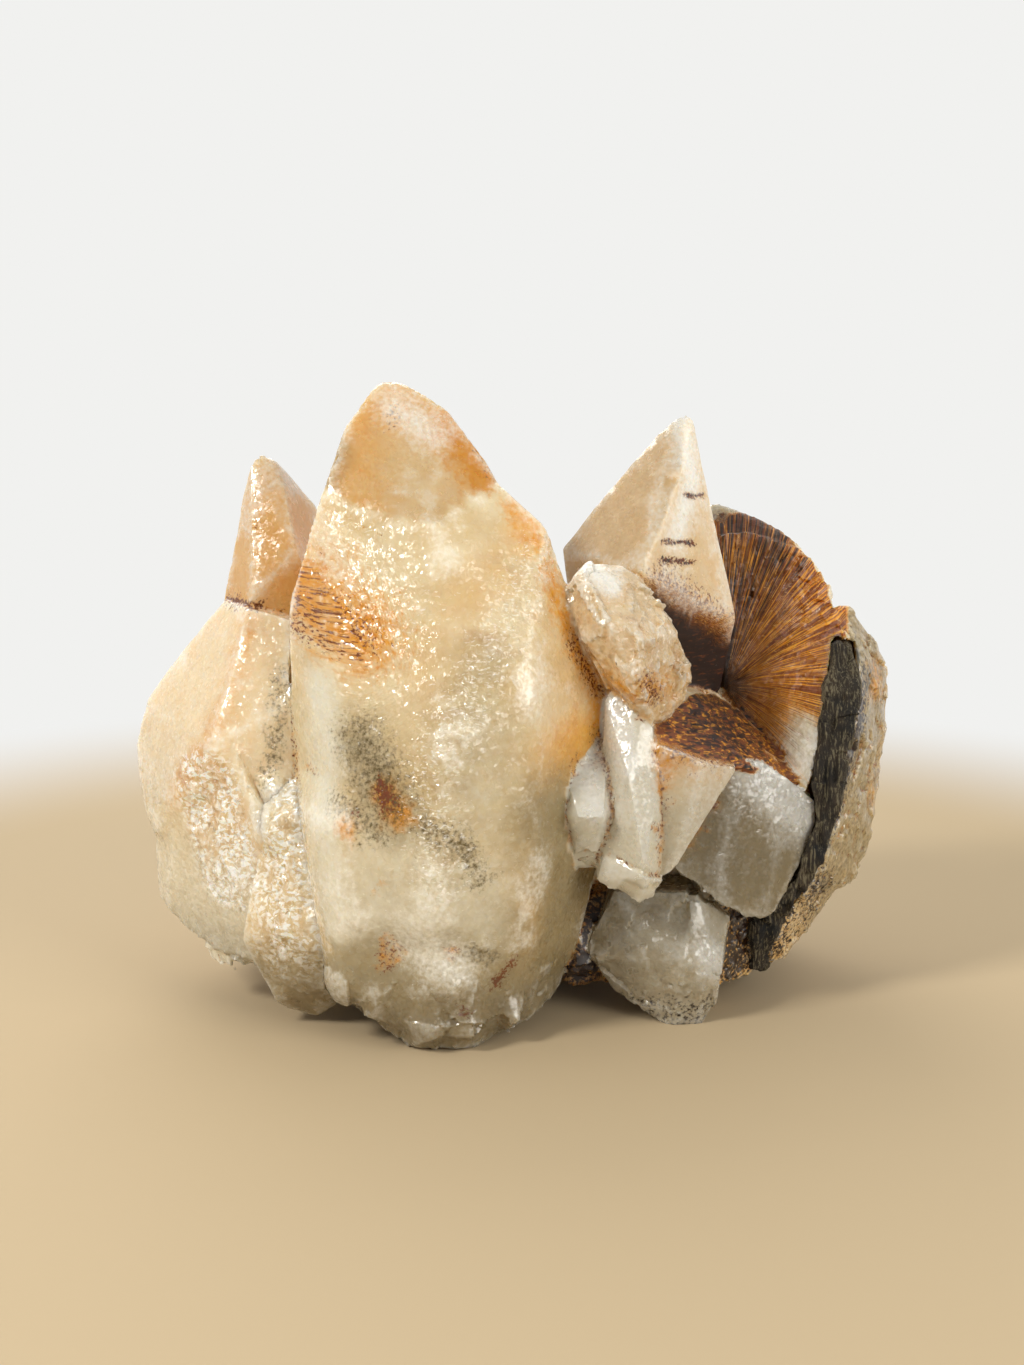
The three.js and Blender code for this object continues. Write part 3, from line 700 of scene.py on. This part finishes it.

# %% [markdown]
# ## Where the colours lie
# Pure calcite is colourless. What colours this cluster lies in or on it: milky zones full of
# tiny bubbles, honey and rose from a trace of iron, smoky clear parts that show the dark
# inside, rust and dark brown where iron water ran, ash-green specks of host rock, and frost
# where faces are etched or chipped. Some of the smoky grey, honey and dark brown is painted
# shade instead: low on the main blade and on its side that turns away, in the recesses under
# and behind the crystals, and where they meet the floor. Part of the white on the ridges is a
# painted highlight. Each gets a mask: a number from 0 to 1 at every point, painted with soft
# strokes that are given in millimetres as seen from the front: the radius, then the places that
# the stroke runs through, right and up, and last its strength. More masks say where a face is
# soiled and dull, cleaved and clear, glittering, or crinkled like foil, and where white glints
# are painted in. The material reads them all by name.

# %% Read the finished mesh
BULGE_ROUNDS = 6

points = points_of(calcite.data)
normals = normals_of(calcite.data)
edges = edges_of(calcite.data)
who = crystal_at(points)
x, y, z = points.T
turn, reach = round_hub(points)
turn_degrees = np.degrees(turn)
bulge = ((points - relaxed(points, edges, BULGE_ROUNDS)) * normals).sum(1)
# The white painted along ridges is partly bruised calcite and partly a painted highlight on the edges.
edge = smooth(bulge, 0.06, 0.22)       # ridges and corners, where calcite bruises white
crease = smooth(-bulge, 0.05, 0.22)    # inner corners, where iron water dries up
print(f"ridges: {edge.mean():.2f} of the surface, inner corners: {crease.mean():.2f}")


def painted(radius, *places):
    """The strongest of the strokes along a chain of (x, z) places."""
    pairs = zip(places, places[1:]) if len(places) > 1 else [(places[0], places[0])]
    return np.max([stroke(points, start, end, radius) for start, end in pairs], axis=0)

# %% Zones of the crystals
cap_line = np.interp(x, [-31, -24, -13, -2.5], [89.3, 86, 83.8, 90])
cap = on("main_blade") * smooth(z - cap_line, -0.4, 0.4) * smooth(-y, -8, 0)
blade = on("main_blade") * (1 - cap)
root = on("main_blade") * (1 - smooth(z, 5, 17))
fan = on("fan") * (1 - smooth(normals[:, 0], 0.4, 0.75))    # not on the outer side of its rim
roof = on("roof") * smooth(-normals[:, 1], -0.3, 0.2)
dogtooth = on("right_dogtooth")
undercut = dogtooth * smooth(x, 17, 22) * smooth(73.5 - 0.72 * (x - 20) - z, -2, 3)
undercut *= 1 - smooth(y, 2, 9)
dogtooth_right = dogtooth * smooth(normals[:, 0], 0.1, 0.4)
plate = on("outer_plate", "back") * smooth(x, 42, 54) * (1 - smooth(y + 3 * noise(points, 6, 207), 2, 20))
back = on("outer_plate", "back") - plate
seam_side = strongest(fan, plate, back) * (1 - smooth(y, -8, 0))
cream_corner = fan * smooth(reach, 7, 14) * (1 - smooth(turn_degrees + 8 * noise(points, 4, 208), -22, 4))
cracks = smooth(cracked(points) + 0.25 * noise(points, 1.1, 210), 0.35, 0.95)
foil = crinkled(points)
cleaved = on(*BLOCKY, "low_crystals", "clear_lump", "left_chip")
cleaved += 0.6 * on("right_dogtooth", "left_peak", "corner_wedge", "left_foot")
unstained = strongest(root, on("clear_lump", "low_crystals", "corner_wedge", "left_crystal",
                               "left_foot"))
tone = facet_tones(calcite_flat, points) * strongest(cleaved, on("left_crystal", "grey_cap") * 0.5)


def on_blade(radius, *places):
    """A painted stroke on the main blade, below its healed cap."""
    return blade * painted(radius, *places)


left_side = on("left_crystal", "left_foot")
# The two left feet grow darker and clearer towards the floor.
dark_feet = on("corner_wedge", "left_foot") * (1 - smooth(z, 8, 22))
silky = on_blade(10, (4, 78), (-14, 46), (-12, 30))    # the glittering band down the blade
ledged = on_blade(14, (-30, 82), (-16, 70))

# %% Milk, honey, rose and smoke
milk = strongest(
    blade * (1 - smooth(z, 22, 48)) * smooth(z, 10, 24) * (1 - smooth(x, -6, 8)) * 0.6,
    on_blade(6, (-31, 58), (-31, 40), (-28, 20)) * 0.9,
    on_blade(12, (-6, 50), (-9, 34)) * 0.35,
    on("spindle") * 0.9, on("middle_block") * 0.85, on("middle_step") * 0.7,
    on("stained_block") * 0.45, on("left_chip") * 0.9, on("low_crystals") * 0.5,
    on("clear_lump") * 0.4,
    left_side * (0.4 + 0.3 * (1 - smooth(z, 20, 34))),
    cream_corner * 0.5, dogtooth_right * 0.3,
    back * 0.4 * (1 + noise(points, 16, 201)), plate * 0.2)
honey_and_shade = strongest(
    cap * (0.7 - 0.4 * painted(11, (-16, 92), (-14, 84))),
    # The right side of the blade, where it turns away from the light: painted warm shade.
    on_blade(12, (8, 72), (10, 52)) * 0.35,
    on_blade(12, (10, 48), (6, 18)) * 0.9,
    on_blade(12, (-4, 76), (-14, 62)) * 0.3,
    on_blade(7, (2, 82)) * 0.7,
    on("left_crystal") * painted(3.5, (-44, 68), (-47.5, 53), (-54, 42), (-57, 36)) * 0.9,
    left_side * painted(5, (-49, 43), (-46, 37), (-41, 27)) * 0.6,
    on_blade(3, (-20.5, 44), (-20, 39)) * 0.9,
    on_blade(2, (-26.6, 37)) * 0.9,
    on("left_peak") * 0.65, dogtooth * 0.4,
    foil * 0.5 * left_side, plate * 0.85,
    on("clear_lump") * (0.5 + 0.3 * (1 - smooth(z, 56, 68))),
    on("spindle", "middle_block") * smooth(z, 47, 54) * 0.7,
    on("stained_block") * (0.35 + 0.65 * smooth(z, 40, 46)), on("low_crystals") * 0.45,
    on("brown_back") * 0.6, fan * 0.8, back * smooth(noise(points, 20, 202), -0.1, 0.7))
rose = strongest(
    on("left_peak") * 0.8,
    left_side * (0.4 + 0.4 * smooth(z, 30, 54)),
    on("corner_wedge") * 0.4,
    on_blade(13, (-34, 84), (-26, 64)) * 0.5,
    dogtooth * 0.5, on("clear_lump") * 0.4, plate * 0.5)
smoke_and_shade = strongest(
    on("grey_block") * (0.95 - 0.5 * smooth(z, 38, 46)), on("low_crystals") * 0.75,
    on("stained_block") * (1 - smooth(z, 36, 44)) * 0.65,
    dark_feet * 0.7, on("grey_cap") * 0.45,
    dogtooth * 0.3 - dogtooth_right * 0.25,
    # Root and lower blade darker: painted shade where the face turns down; the root's clear chips are
    # also darker in themselves.
    root * 0.75, blade * (1 - smooth(z, 14, 44)) * 0.8, on_blade(14, (-6, 62), (-8, 30)) * 0.42,
    cap * painted(5, (-31, 88), (-28.5, 95)) * 0.6,
    # Lower right of the blade: painted shade where it turns away.
    on_blade(15, (6, 38), (9, 24), (7, 12)),
    on_blade(11, (-25, 50), (-18, 38)) * 0.6,
    on_blade(8, (-15, 38), (-7, 30)) * 0.45,
    on("left_crystal") * painted(3, (-39, 60), (-39, 45)) * 0.25,
    plate * 0.8, cream_corner * 0.85, on("brown_back") * 0.8,
    back * smooth(noise(points, 14, 206), 0, 0.6) * 0.8, on("left_peak") * smooth(z, 82, 90) * 0.3)

# %% Rust, iron and umber
rust = strongest(
    on_blade(4, (-20.5, 43), (-18, 39.5)) * 0.9,
    on_blade(3, (-26.8, 37.5)) * 0.9,
    on_blade(13, (-39, 76), (-31, 71), (-24, 67)) * 0.75,
    on_blade(6, (-27, 78)) * 0.4,
    cap * painted(7.5, (-10, 98), (-4, 91)) * 0.9,
    on_blade(4.5, (0, 86), (4, 80)) * 0.55,
    on_blade(3, (5, 76), (9, 65), (13.5, 56), (13, 50)) * 0.65,
    on("left_crystal") * painted(2.4, (-44.2, 67), (-45.4, 58), (-47.5, 52.5), (-54.4, 41.5)) * 0.25,
    on("clear_lump") * painted(5, (12, 60), (15, 57), (23, 58)) * 0.6,
    crease * (0.4 - 0.33 * unstained),
    on("middle_block", "stained_block") * painted(1.5, (23, 49), (23.3, 42)) * 0.9,
    on("stained_block") * smooth(z, 43, 47) * 0.7,
    on("grey_block") * painted(4, (33, 46), (40, 44)) * 0.7,
    roof, on("brown_back") * 0.6, undercut,
    fan * (0.85 + 0.2 * noise(points, 3, 209)) - cream_corner * 0.75,
    dogtooth * painted(6, (24, 71), (35, 63)) * 0.6,
    plate * painted(4, (61.5, 56), (62, 52)) * 0.6,
    (back + plate) * smooth(noise(points, 11, 203), 0.2, 0.7) * 0.7)
iron = strongest(
    on_blade(2.4, (-21, 44), (-19.8, 40)) * 0.8,
    on_blade(2, (-25, 39.5)) * 0.6,
    on_blade(8, (-39, 75), (-31, 70), (-25, 66.5)) * 0.4,
    on_blade(4, (-36, 67), (-28, 64.5)) * 0.42,
    cap * painted(3, (-19.7, 100)) * 0.5,
    cap * painted(4, (-6, 95), (-3, 90)) * 0.2,
    on_blade(2.5, (9, 65), (13.5, 56)) * 0.5,
    on("left_peak", "left_crystal") * painted(1.3, (-49, 68.5), (-42.5, 68)) * 0.7,
    crease * (0.35 - 0.33 * unstained),
    on("brown_back") * 0.4, undercut, cracks * 0.8,
    dogtooth * painted(6, (24, 72), (36, 62)) * 0.66,
    on("clear_lump") * painted(3, (21, 59), (22, 56)) * 0.5,
    roof * 0.68, fan * 0.58 - cream_corner * 0.45,
    (fan + on("grey_cap")) * smooth(z, 68, 75) * (1 - smooth(z, 80, 81.5)) * 0.6,
    on("stained_block", "grey_block") * painted(3.5, (25, 48), (36, 45)) * 0.5,
    on("main_blade") * painted(1.3, (-3.6, 10.8), (0, 14.7)) * 0.85,
    root * painted(1.2, (-9, 7.5), (-7.5, 7)) * 0.9)
umber_and_shade = strongest(
    # Under the right dogtooth: a real speckled dark stain, and painted shade in the recess beneath it.
    undercut * 0.85, roof * (0.15 + 0.45 * (1 - smooth(reach, 4, 15))),
    seam_side * painted(4, (60, 68), (61, 60), (58, 48), (54, 36), (48, 22)) * 0.8,
    fan * smooth(turn_degrees, 35, 70) * 0.5, fan * (1 - smooth(reach, 1, 9)) * 0.7,
    on("right_dogtooth", "fan") * painted(1.6, (38, 61), (36, 51)),
    # The dark recess behind the feet: painted shade.
    on("brown_back") * painted(8, (15, 16), (11, 8)) * 0.9,
    on("grey_cap") * painted(3, (52, 72), (54, 66)) * 0.55,
    # Where the low crystals meet the floor: painted shade.
    on("low_crystals", "grey_block") * (1 - smooth(z, 2, 8)) * 0.4,
    # The dark gap low on the right, near the floor: painted shade.
    painted(8, (37, 8), (38.5, 20)) * strongest(back, plate, on("brown_back")) * 0.9,
    strongest(back, plate) * painted(8, (44, 8), (50, 20)) * 0.75,
    (fan + on("grey_cap")) * smooth(z, 71, 77) * (1 - smooth(z, 79.5, 81)) * 0.5,
    # Where the back faces down: painted shade.
    back * smooth(-normals[:, 2], 0.3, 0.8) * 0.5, cracks * 0.45)

# %% Ash, frost, clear and glitter
ash = strongest(
    on_blade(9, (-24, 50), (-20, 43)) * 0.5, on_blade(5, (-21, 46), (-19, 40)) * 0.65,
    on_blade(5, (-27, 40), (-22, 37)) * 0.5, on_blade(4, (-14, 38), (-8, 35)) * 0.52,
    on_blade(3, (-7, 33), (-5.5, 29)) * 0.6, on_blade(3, (-7, 17), (-4, 15.5)) * 0.6,
    on("left_crystal") * painted(3, (-38.2, 58), (-38.8, 52), (-39.5, 46), (-41, 40)) * 0.42,
    plate * painted(3, (60.5, 56), (59.5, 53)) * 0.7,
    back * smooth(noise(points, 9, 205), 0.35, 0.75) * 0.5, plate * 0.34)
frosted = strongest(
    cap * painted(6, (-20, 102), (-13, 97)) * 0.6,
    on("main_blade") * painted(0.7, (-12.7, 83.7), (-3.1, 89.3)) * 0.5,
    on_blade(2, (-30, 87.5), (-22, 85), (-14, 83)) * 0.25,
    on_blade(7, (-33, 84), (-28, 77)) * 0.3, on_blade(3, (-36.5, 80), (-37, 70)) * 0.7,
    dogtooth * painted(5, (28, 98), (29.5, 91)) * 0.75,
    dogtooth * painted(4, (30, 89), (26.5, 79)) * 0.8 * (1 - cracks),
    on("clear_lump") * painted(3.2, (12, 76), (15.5, 73.5)),
    on("spindle") * painted(5, (11, 47), (13, 38)) * 0.7,
    on("middle_block") * painted(5, (15.5, 53), (18, 46)) * 0.85,
    on("stained_block") * painted(3.5, (24, 44)) * 0.5,
    on("grey_block") * painted(11, (42, 43), (50, 36)) * 1.4,
    on("low_crystals") * painted(4, (31, 13), (34, 9)),
    on_blade(9, (-16, 20), (-10, 14)) * 0.5, fan * painted(4, (48, 41), (50, 46)) * 0.5)
soiled = strongest(roof, undercut, fan * 0.8, on("brown_back"), plate * 0.5, back * 0.5)
# Frost from etching and chips; on the ridges it is also a painted highlight along the edges.
frost_and_highlight = strongest(frosted, edge * 0.4 * (1 - soiled), root * 0.1, cream_corner * 0.3)
clear = strongest(
    on("clear_lump") * 0.3, on("low_crystals") * 0.75, on("grey_block") * 0.8,
    on("middle_block", "spindle", "stained_block", "middle_step") * 0.5,
    on("grey_cap") * 0.7, cap * 0.35, on("left_peak") * 0.25,
    dogtooth * (0.5 - 0.4 * strongest(undercut, dogtooth_right)),
    root * 0.7, on("brown_back") * 0.6, dark_feet * 0.5)
glitter = strongest(
    silky * 0.9,
    left_side * 0.4, foil, on("clear_lump") * 0.7, fan * 0.5,
    ledged * 0.5, blade * 0.25, root * 0.2,
    on("spindle", "middle_block") * 0.12, on("stained_block", "grey_block") * 0.12,
    on("low_crystals") * 0.2, on("right_dogtooth", "left_peak") * 0.1, back * 0.4,
    plate * 0.25, frosted * 0.6)
# Where white strokes are painted into the colour as glints: painted highlights.
painted_sparkle = np.maximum.reduce([
    silky, blade * 0.25,
    left_side * 0.6, foil * 0.9,
    on("clear_lump") * 0.5, fan * painted(12, (50, 66), (46, 60)) * 0.8,
    ledged * 0.8, root * 0.3, on("low_crystals") * 0.2,
    dogtooth * painted(8, (30, 88), (26, 78)) * 0.7, back * 0.3])

# %% Store the masks on the mesh
MASKS = dict(
    rose=rose, honey_and_shade=honey_and_shade, smoke_and_shade=smoke_and_shade, milk=milk, rust=rust, ash=ash,
    iron=iron, umber_and_shade=umber_and_shade, frost_and_highlight=frost_and_highlight, clear=clear, glitter=glitter, fan=fan,
    spoke=turn * FAN_REACH_MM * MM, reach=reach * MM,
    shoulder=strongest(on("main_blade") * painted(15, (-33, 80), (-24, 62)), roof, undercut),
    painted_sparkle=painted_sparkle, foil=foil, soiled=soiled, cleaved=cleaved, tone=tone,
    upright=on("left_peak", "left_crystal", "left_foot", "corner_wedge", "right_dogtooth"))
for name, values in MASKS.items():
    layer = calcite.data.attributes.new(name, "FLOAT", "POINT")
    layer.data.foreach_set("value", np.asarray(values, np.float32))
for name in ("rose", "honey_and_shade", "smoke_and_shade", "milk", "rust", "ash", "iron", "umber_and_shade", "frost_and_highlight"):
    print(f"{name}: {MASKS[name].mean():.2f} of the surface")

# %% [markdown]
# ## Milky calcite
# Light enters calcite, scatters off bubbles and cracks a few millimetres down, and comes out
# again nearby: that is subsurface scattering. Where the crystal is clear, part of the light
# goes straight through: that is transmission, and the depth it crosses tints it. Calcite's
# refractive index is near 1.6, so it mirrors a little more than window glass.
#
# The colours are stacked like glazes, the deep ones first. A mask alone would give each glaze a
# soft airbrushed border. Real stains have crumbly borders, so noise is added to the mask, and
# the sum is cut with a steep ramp.

# %% Helpers for the shader
def per_mm(size_mm):
    """The noise scale that gives lumps of this size, for a mesh in metres."""
    return 1 / (size_mm * MM)


def grain(vector, size_mm, detail=2.0, roughness=0.5, output="Fac"):
    """Noise with lumps of a size in mm: its grey value, or its Color."""
    return add(tree, "TexNoise", Vector=vector, Scale=per_mm(size_mm), Detail=detail,
               Roughness=roughness).outputs[output]


def maths(operation, *values):
    """One sum in the tree of the material that is being made: its result."""
    sockets = {f"_{number}": value for number, value in enumerate(values)}
    return add(tree, "Math", {"operation": operation}, **sockets).outputs[0]


def times(one, other):
    """One value times another."""
    return maths("MULTIPLY", one, other)


def vector_maths(operation, *values, **named):
    """The same for three numbers at once."""
    sockets = {f"_{number}": value for number, value in enumerate(values)}
    return add(tree, "VectorMath", {"operation": operation}, **sockets, **named).outputs["Vector"]


def mixed(share, one, other, blend="MIX"):
    """Two colours mixed by a share, or blended in another way."""
    return add(tree, "Mix", {"data_type": "RGBA", "blend_type": blend},
               _0=share, _6=one, _7=other).outputs[2]


def chosen(share, one, other):
    """Two vectors mixed by a share."""
    return add(tree, "Mix", {"data_type": "VECTOR"}, _0=share, _4=one, _5=other).outputs[1]


def squeezed(vector, scale, turned=0.0):
    """A place stretched or squeezed along each axis, then turned about y."""
    return add(tree, "Mapping", Vector=vector, Rotation=(0, turned, 0), Scale=scale).outputs["Vector"]


def ramped(value, low, high, shape="SMOOTHSTEP"):
    """0 below low, 1 above high, and a soft or straight rise between."""
    return add(tree, "MapRange", {"interpolation_type": shape}, Value=value, From_Min=low,
               From_Max=high).outputs[0]


def crumbly(mask, size_mm, amount, ramp, vector):
    """A mask with a crumbly border, from noise added to it wherever the mask isn't 0."""
    speck = grain(vector, size_mm, roughness=0.6)
    shift = maths("MULTIPLY_ADD", speck, amount, -amount / 2)
    shift = times(shift, maths("MINIMUM", times(mask, 6.0), 1.0))
    return ramped(maths("ADD", mask, shift), 0.5 - ramp, 0.5 + ramp)

# %% Calcite's glazes
GLAZES = {
    # glaze: its colour, size of its specks in mm, how far they crumble its border, its ramp
    "rose": ("#F3D4A2", 4.0, 0.25, 0.5), "honey_and_shade": ("#E2A94F", 3.0, 0.3, 0.5),
    "smoke_and_shade": ("#9C8B66", 3.0, 0.4, 0.5), "milk": ("#E4DDC7", 2.0, 0.4, 0.5),
    "rust": ("#DB9622", 1.2, 1.3, 0.4), "ash": ("#62522C", 0.6, 1.6, 0.4),
    "iron": ("#7A3E14", 0.5, 2.4, 0.2), "umber_and_shade": ("#241009", 0.6, 2.2, 0.25),
    "frost_and_highlight": ("#FFFCF2", 0.8, 0.8, 0.5),
}
STEERED = ("rust", "iron", "umber_and_shade")
BASE_DARK = "#D3BA8C"
BASE_LIGHT = "#E4D5B2"
CLOUD_MM = 8
TONE_MEAN = 0.95
TONE_SPREAD = 0.07

material, tree = new_material("milky_calcite")
place = add(tree, "TexCoord").outputs["Object"]
masks = {name: add(tree, "Attribute", {"attribute_name": name}).outputs["Fac"] for name in MASKS}

# Growth lines on the shoulder, and lines that fan out over the hollow face, steer the stains
tilted = squeezed(place, (0.13, 0.5, 1.1), -SHOULDER_SLOPE)
spokes = add(tree, "CombineXYZ", X=masks["spoke"], Y=masks["reach"], Z=0.0).outputs[0]
fanned = squeezed(spokes, (1.9, 0.06, 1))
steered = chosen(masks["fan"], chosen(masks["shoulder"], place, tilted), fanned)

cloud_share = ramped(grain(place, CLOUD_MM, 3.0), 0.28, 0.72, "LINEAR")
colour = mixed(cloud_share, linear(BASE_DARK), linear(BASE_LIGHT))
for glaze, (glaze_colour, size, amount, ramp) in GLAZES.items():
    vector = steered if glaze in STEERED else place
    colour = mixed(crumbly(masks[glaze], size, amount, ramp, vector), colour, linear(glaze_colour))
# A flat face shows its own part of the inside, so its tone is a little lighter or darker
facet_tone = maths("MULTIPLY_ADD", masks["tone"], TONE_SPREAD, TONE_MEAN)
colour = vector_maths("SCALE", colour, Scale=facet_tone)

# %% [markdown]
# ## Glitter
# An etched face is a crowd of tiny facets, each turned its own way. Voronoi cells make the
# facets: every cell tilts the normal by its own random amount, so that a few of them always
# mirror a lamp. On top of that, glints are painted into the colour: short white strokes, painted
# highlights that all run the same way on one crystal, because they follow its lattice. On the
# left, where the face is crinkled like foil, a noise is cut to thin folds that are painted bright
# as highlights, with breaks between them.

# %% Facets and strokes
FACET_MM = 0.7
FACET_TILT = 0.9
STROKE_MM = 0.3
STROKE_TURN = math.radians(40)
CRINKLE_MM = 0.6
VEIL_MM = 2.2
WOBBLE_MM = 1.6         # size and reach of the bends in the cells and strokes
WOBBLE_REACH_MM = 1.2
# Colours of the painted glints: white, and golden on the fan.
PAINTED_GLINT = "#FFFDF6"
PAINTED_RUSTY_GLINT = "#E8B56B"

wobble = grain(place, WOBBLE_MM, 1.0, output="Color")
bent = vector_maths("MULTIPLY_ADD", wobble, [WOBBLE_REACH_MM * MM] * 3, place)
cells = add(tree, "TexVoronoi", Vector=bent, Scale=per_mm(FACET_MM)).outputs["Color"]
tilt = vector_maths("SUBTRACT", cells, (0.5, 0.5, 0.5))
tilt = vector_maths("SCALE", tilt, Scale=times(masks["glitter"], FACET_TILT))
facing = add(tree, "NewGeometry").outputs["Normal"]
faceted = vector_maths("NORMALIZE", vector_maths("ADD", facing, tilt))
chance = add(tree, "SeparateXYZ", Vector=cells)

leaning = squeezed(bent, (0.22, 1, 1), STROKE_TURN)
standing = squeezed(bent, (1, 1, 0.45))
hatched = chosen(masks["upright"], leaning, standing)
veil = grain(hatched, VEIL_MM)
colour = mixed(maths("MULTIPLY_ADD", masks["glitter"], 0.22, 0.06), colour, veil, "OVERLAY")
stroke_noise = grain(hatched, STROKE_MM)
# The strokes are painted highlights: noise cut to short bright marks.
painted_stroke_glints = ramped(maths("MULTIPLY_ADD", masks["painted_sparkle"], 0.17, stroke_noise), 0.73, 0.82)

# %% Crinkles like foil
slanted = squeezed(bent, (0.5, 1, 1), STROKE_TURN)
# The thin folds are painted highlights on the crinkled foil.
painted_crinkle_glints = ramped(grain(slanted, CRINKLE_MM), 0.47, 0.54)
breaks = ramped(veil, 0.38, 0.5, "LINEAR")
painted_crinkle_glints = times(times(painted_crinkle_glints, breaks), masks["foil"])
# Strokes and folds painted into the colour as glints: painted highlights.
painted_glints = maths("MAXIMUM", times(painted_stroke_glints, 0.5), times(painted_crinkle_glints, 0.85))
painted_glint = mixed(masks["fan"], linear(PAINTED_GLINT), linear(PAINTED_RUSTY_GLINT))
colour = mixed(painted_glints, colour, painted_glint)

# %% Surface of the calcite
CALCITE_IOR = 1.6
SCATTER_MM = 5
SCATTER_MOST = 0.9    # of a milky crystal; a cleaved clear one lets light through instead
CLEAR_MOST = 0.65
SCATTER_LEAST = 0.3
SCATTER_REACH = (1.0, 0.84, 0.62)    # red light travels furthest inside
ROUGH_LEAST = 0.08
ROUGH_MOST = 0.3
SOILED_ROUGH = 0.6
COAT = 0.4
COAT_ROUGH = 0.06
DENT_MM = 0.9
LINE_MM = 0.8
BUMP_MM = 0.3
INSIDE_TINT = "#E8CFA0"
INSIDE_DENSITY = 18.0

dents = grain(place, DENT_MM)
lines = grain(steered, LINE_MM, 1.0)
height = maths("ADD", dents, lines)
bump = add(tree, "Bump", Distance=BUMP_MM * MM, Height=height, Normal=faceted,
           Strength=maths("MULTIPLY_ADD", masks["glitter"], 0.7, 0.1))

opaque = maths("MAXIMUM", masks["umber_and_shade"], masks["frost_and_highlight"])
scatter = add(tree, "MapRange", Value=opaque, To_Min=SCATTER_MOST, To_Max=SCATTER_LEAST).outputs[0]
scatter = times(scatter, maths("MULTIPLY_ADD", masks["cleaved"], -0.6, 1.0))
rough = add(tree, "MapRange", Value=chance.outputs["Y"], To_Min=ROUGH_LEAST,
            To_Max=ROUGH_MOST).outputs[0]
rough = maths("MAXIMUM", rough, times(masks["soiled"], SOILED_ROUGH))
coat = maths("MULTIPLY_ADD", masks["soiled"], -COAT, COAT)
skin = add(tree, "BsdfPrincipled", Base_Color=colour, Roughness=rough, IOR=CALCITE_IOR,
           Normal=bump.outputs["Normal"], Subsurface_Weight=scatter,
           Subsurface_Radius=SCATTER_REACH, Subsurface_Scale=SCATTER_MM * MM,
           Coat_Weight=coat, Coat_Roughness=COAT_ROUGH,
           Transmission_Weight=times(masks["clear"], CLEAR_MOST))
depth = add(tree, "VolumeAbsorption", Color=linear(INSIDE_TINT), Density=INSIDE_DENSITY)
add(tree, "OutputMaterial", Surface=skin.outputs["BSDF"], Volume=depth.outputs[0])
calcite.data.materials.append(material)
print("shader nodes of the calcite:", len(tree.nodes))

# %% [markdown]
# ## The host rock
# A splinter of the grey-green rock that the crystals grew on stands between the last two of
# them. It is fibrous: grey hairs of weathered mineral run up and down a nearly black base.

# %% Host rock
ROCK_VOXEL_MM = 0.35
ROCK_TRIANGLES = 60000
ROCK_GROW_MM = 0.6    # closes the hairline gap that the CAD model keeps beside it
HAIR_MM = 0.32
HAIR_SHARE = 0.75
HAIR_BUMP_MM = 1.0
PATCH_MM = 5
BROWNER_FROM_MM = 15
BROWNER_TO_MM = 45
ROCK_ROUGH = 0.75
ROCK_BLUISH = "#06090C"
ROCK_BROWNISH = "#16120C"
ROCK_WEATHERED = "#3A2B17"
ROCK_HAIR = "#8A8064"

rock, rock_flat = finely_meshed("host_rock_seam", ROCK_VOXEL_MM, "host_rock_fine")
points = points_of(rock.data)
normals = normals_of(rock.data)
x, y, z = points.T
fibres = noise(np.stack([x / 0.7, y / 1.1, z / 6], 1), 1, 301)
lumps = 0.9 * noise(points, 4.5, 302) + 0.5 * chipped(points, 4, 303)
height = ROCK_GROW_MM + 0.7 * fibres + lumps - 0.5 * smooth(z, 50, 62)
put_points(rock.data, points + normals * height[:, None])
rock = decimated(rock, ROCK_TRIANGLES, "host_rock_seam_grown")

material, tree = new_material("fibrous_host_rock")
place = add(tree, "TexCoord").outputs["Object"]
upright = squeezed(place, (1, 0.7, 0.13))
hair = grain(upright, HAIR_MM, 6.0, 0.7)
patch = grain(place, PATCH_MM, 5.0, 0.6)
hairs = ramped(maths("MULTIPLY_ADD", patch, 0.35, hair), 0.65, 0.8)
patches = ramped(patch, 0.35, 0.65, "LINEAR")
up = add(tree, "SeparateXYZ", Vector=place).outputs["Z"]
dark = mixed(ramped(up, BROWNER_FROM_MM * MM, BROWNER_TO_MM * MM, "LINEAR"), linear(ROCK_BLUISH),
             linear(ROCK_BROWNISH))
base = mixed(patches, dark, linear(ROCK_WEATHERED))
colour = mixed(times(hairs, HAIR_SHARE), base, linear(ROCK_HAIR))
bump = add(tree, "Bump", Strength=1.0, Distance=HAIR_BUMP_MM * MM, Height=hair)
skin = add(tree, "BsdfPrincipled", Base_Color=colour, Roughness=ROCK_ROUGH,
           Normal=bump.outputs["Normal"])
add(tree, "OutputMaterial", Surface=skin.outputs["BSDF"])
rock.data.materials.append(material)

# %% [markdown]
# ## Handing over
# Each grown piece takes the place of its plain CAD node and rides on the cluster's one body.
# The flat copies have done their work.

# %% Ride and replace
for piece, node, slot in ((calcite, "calcite_cluster", "calcite"),
                          (rock, "host_rock_seam", "host_rock")):
    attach(piece, "root")
    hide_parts(node)
for flat in (calcite_flat, rock_flat):
    bpy.data.objects.remove(flat)
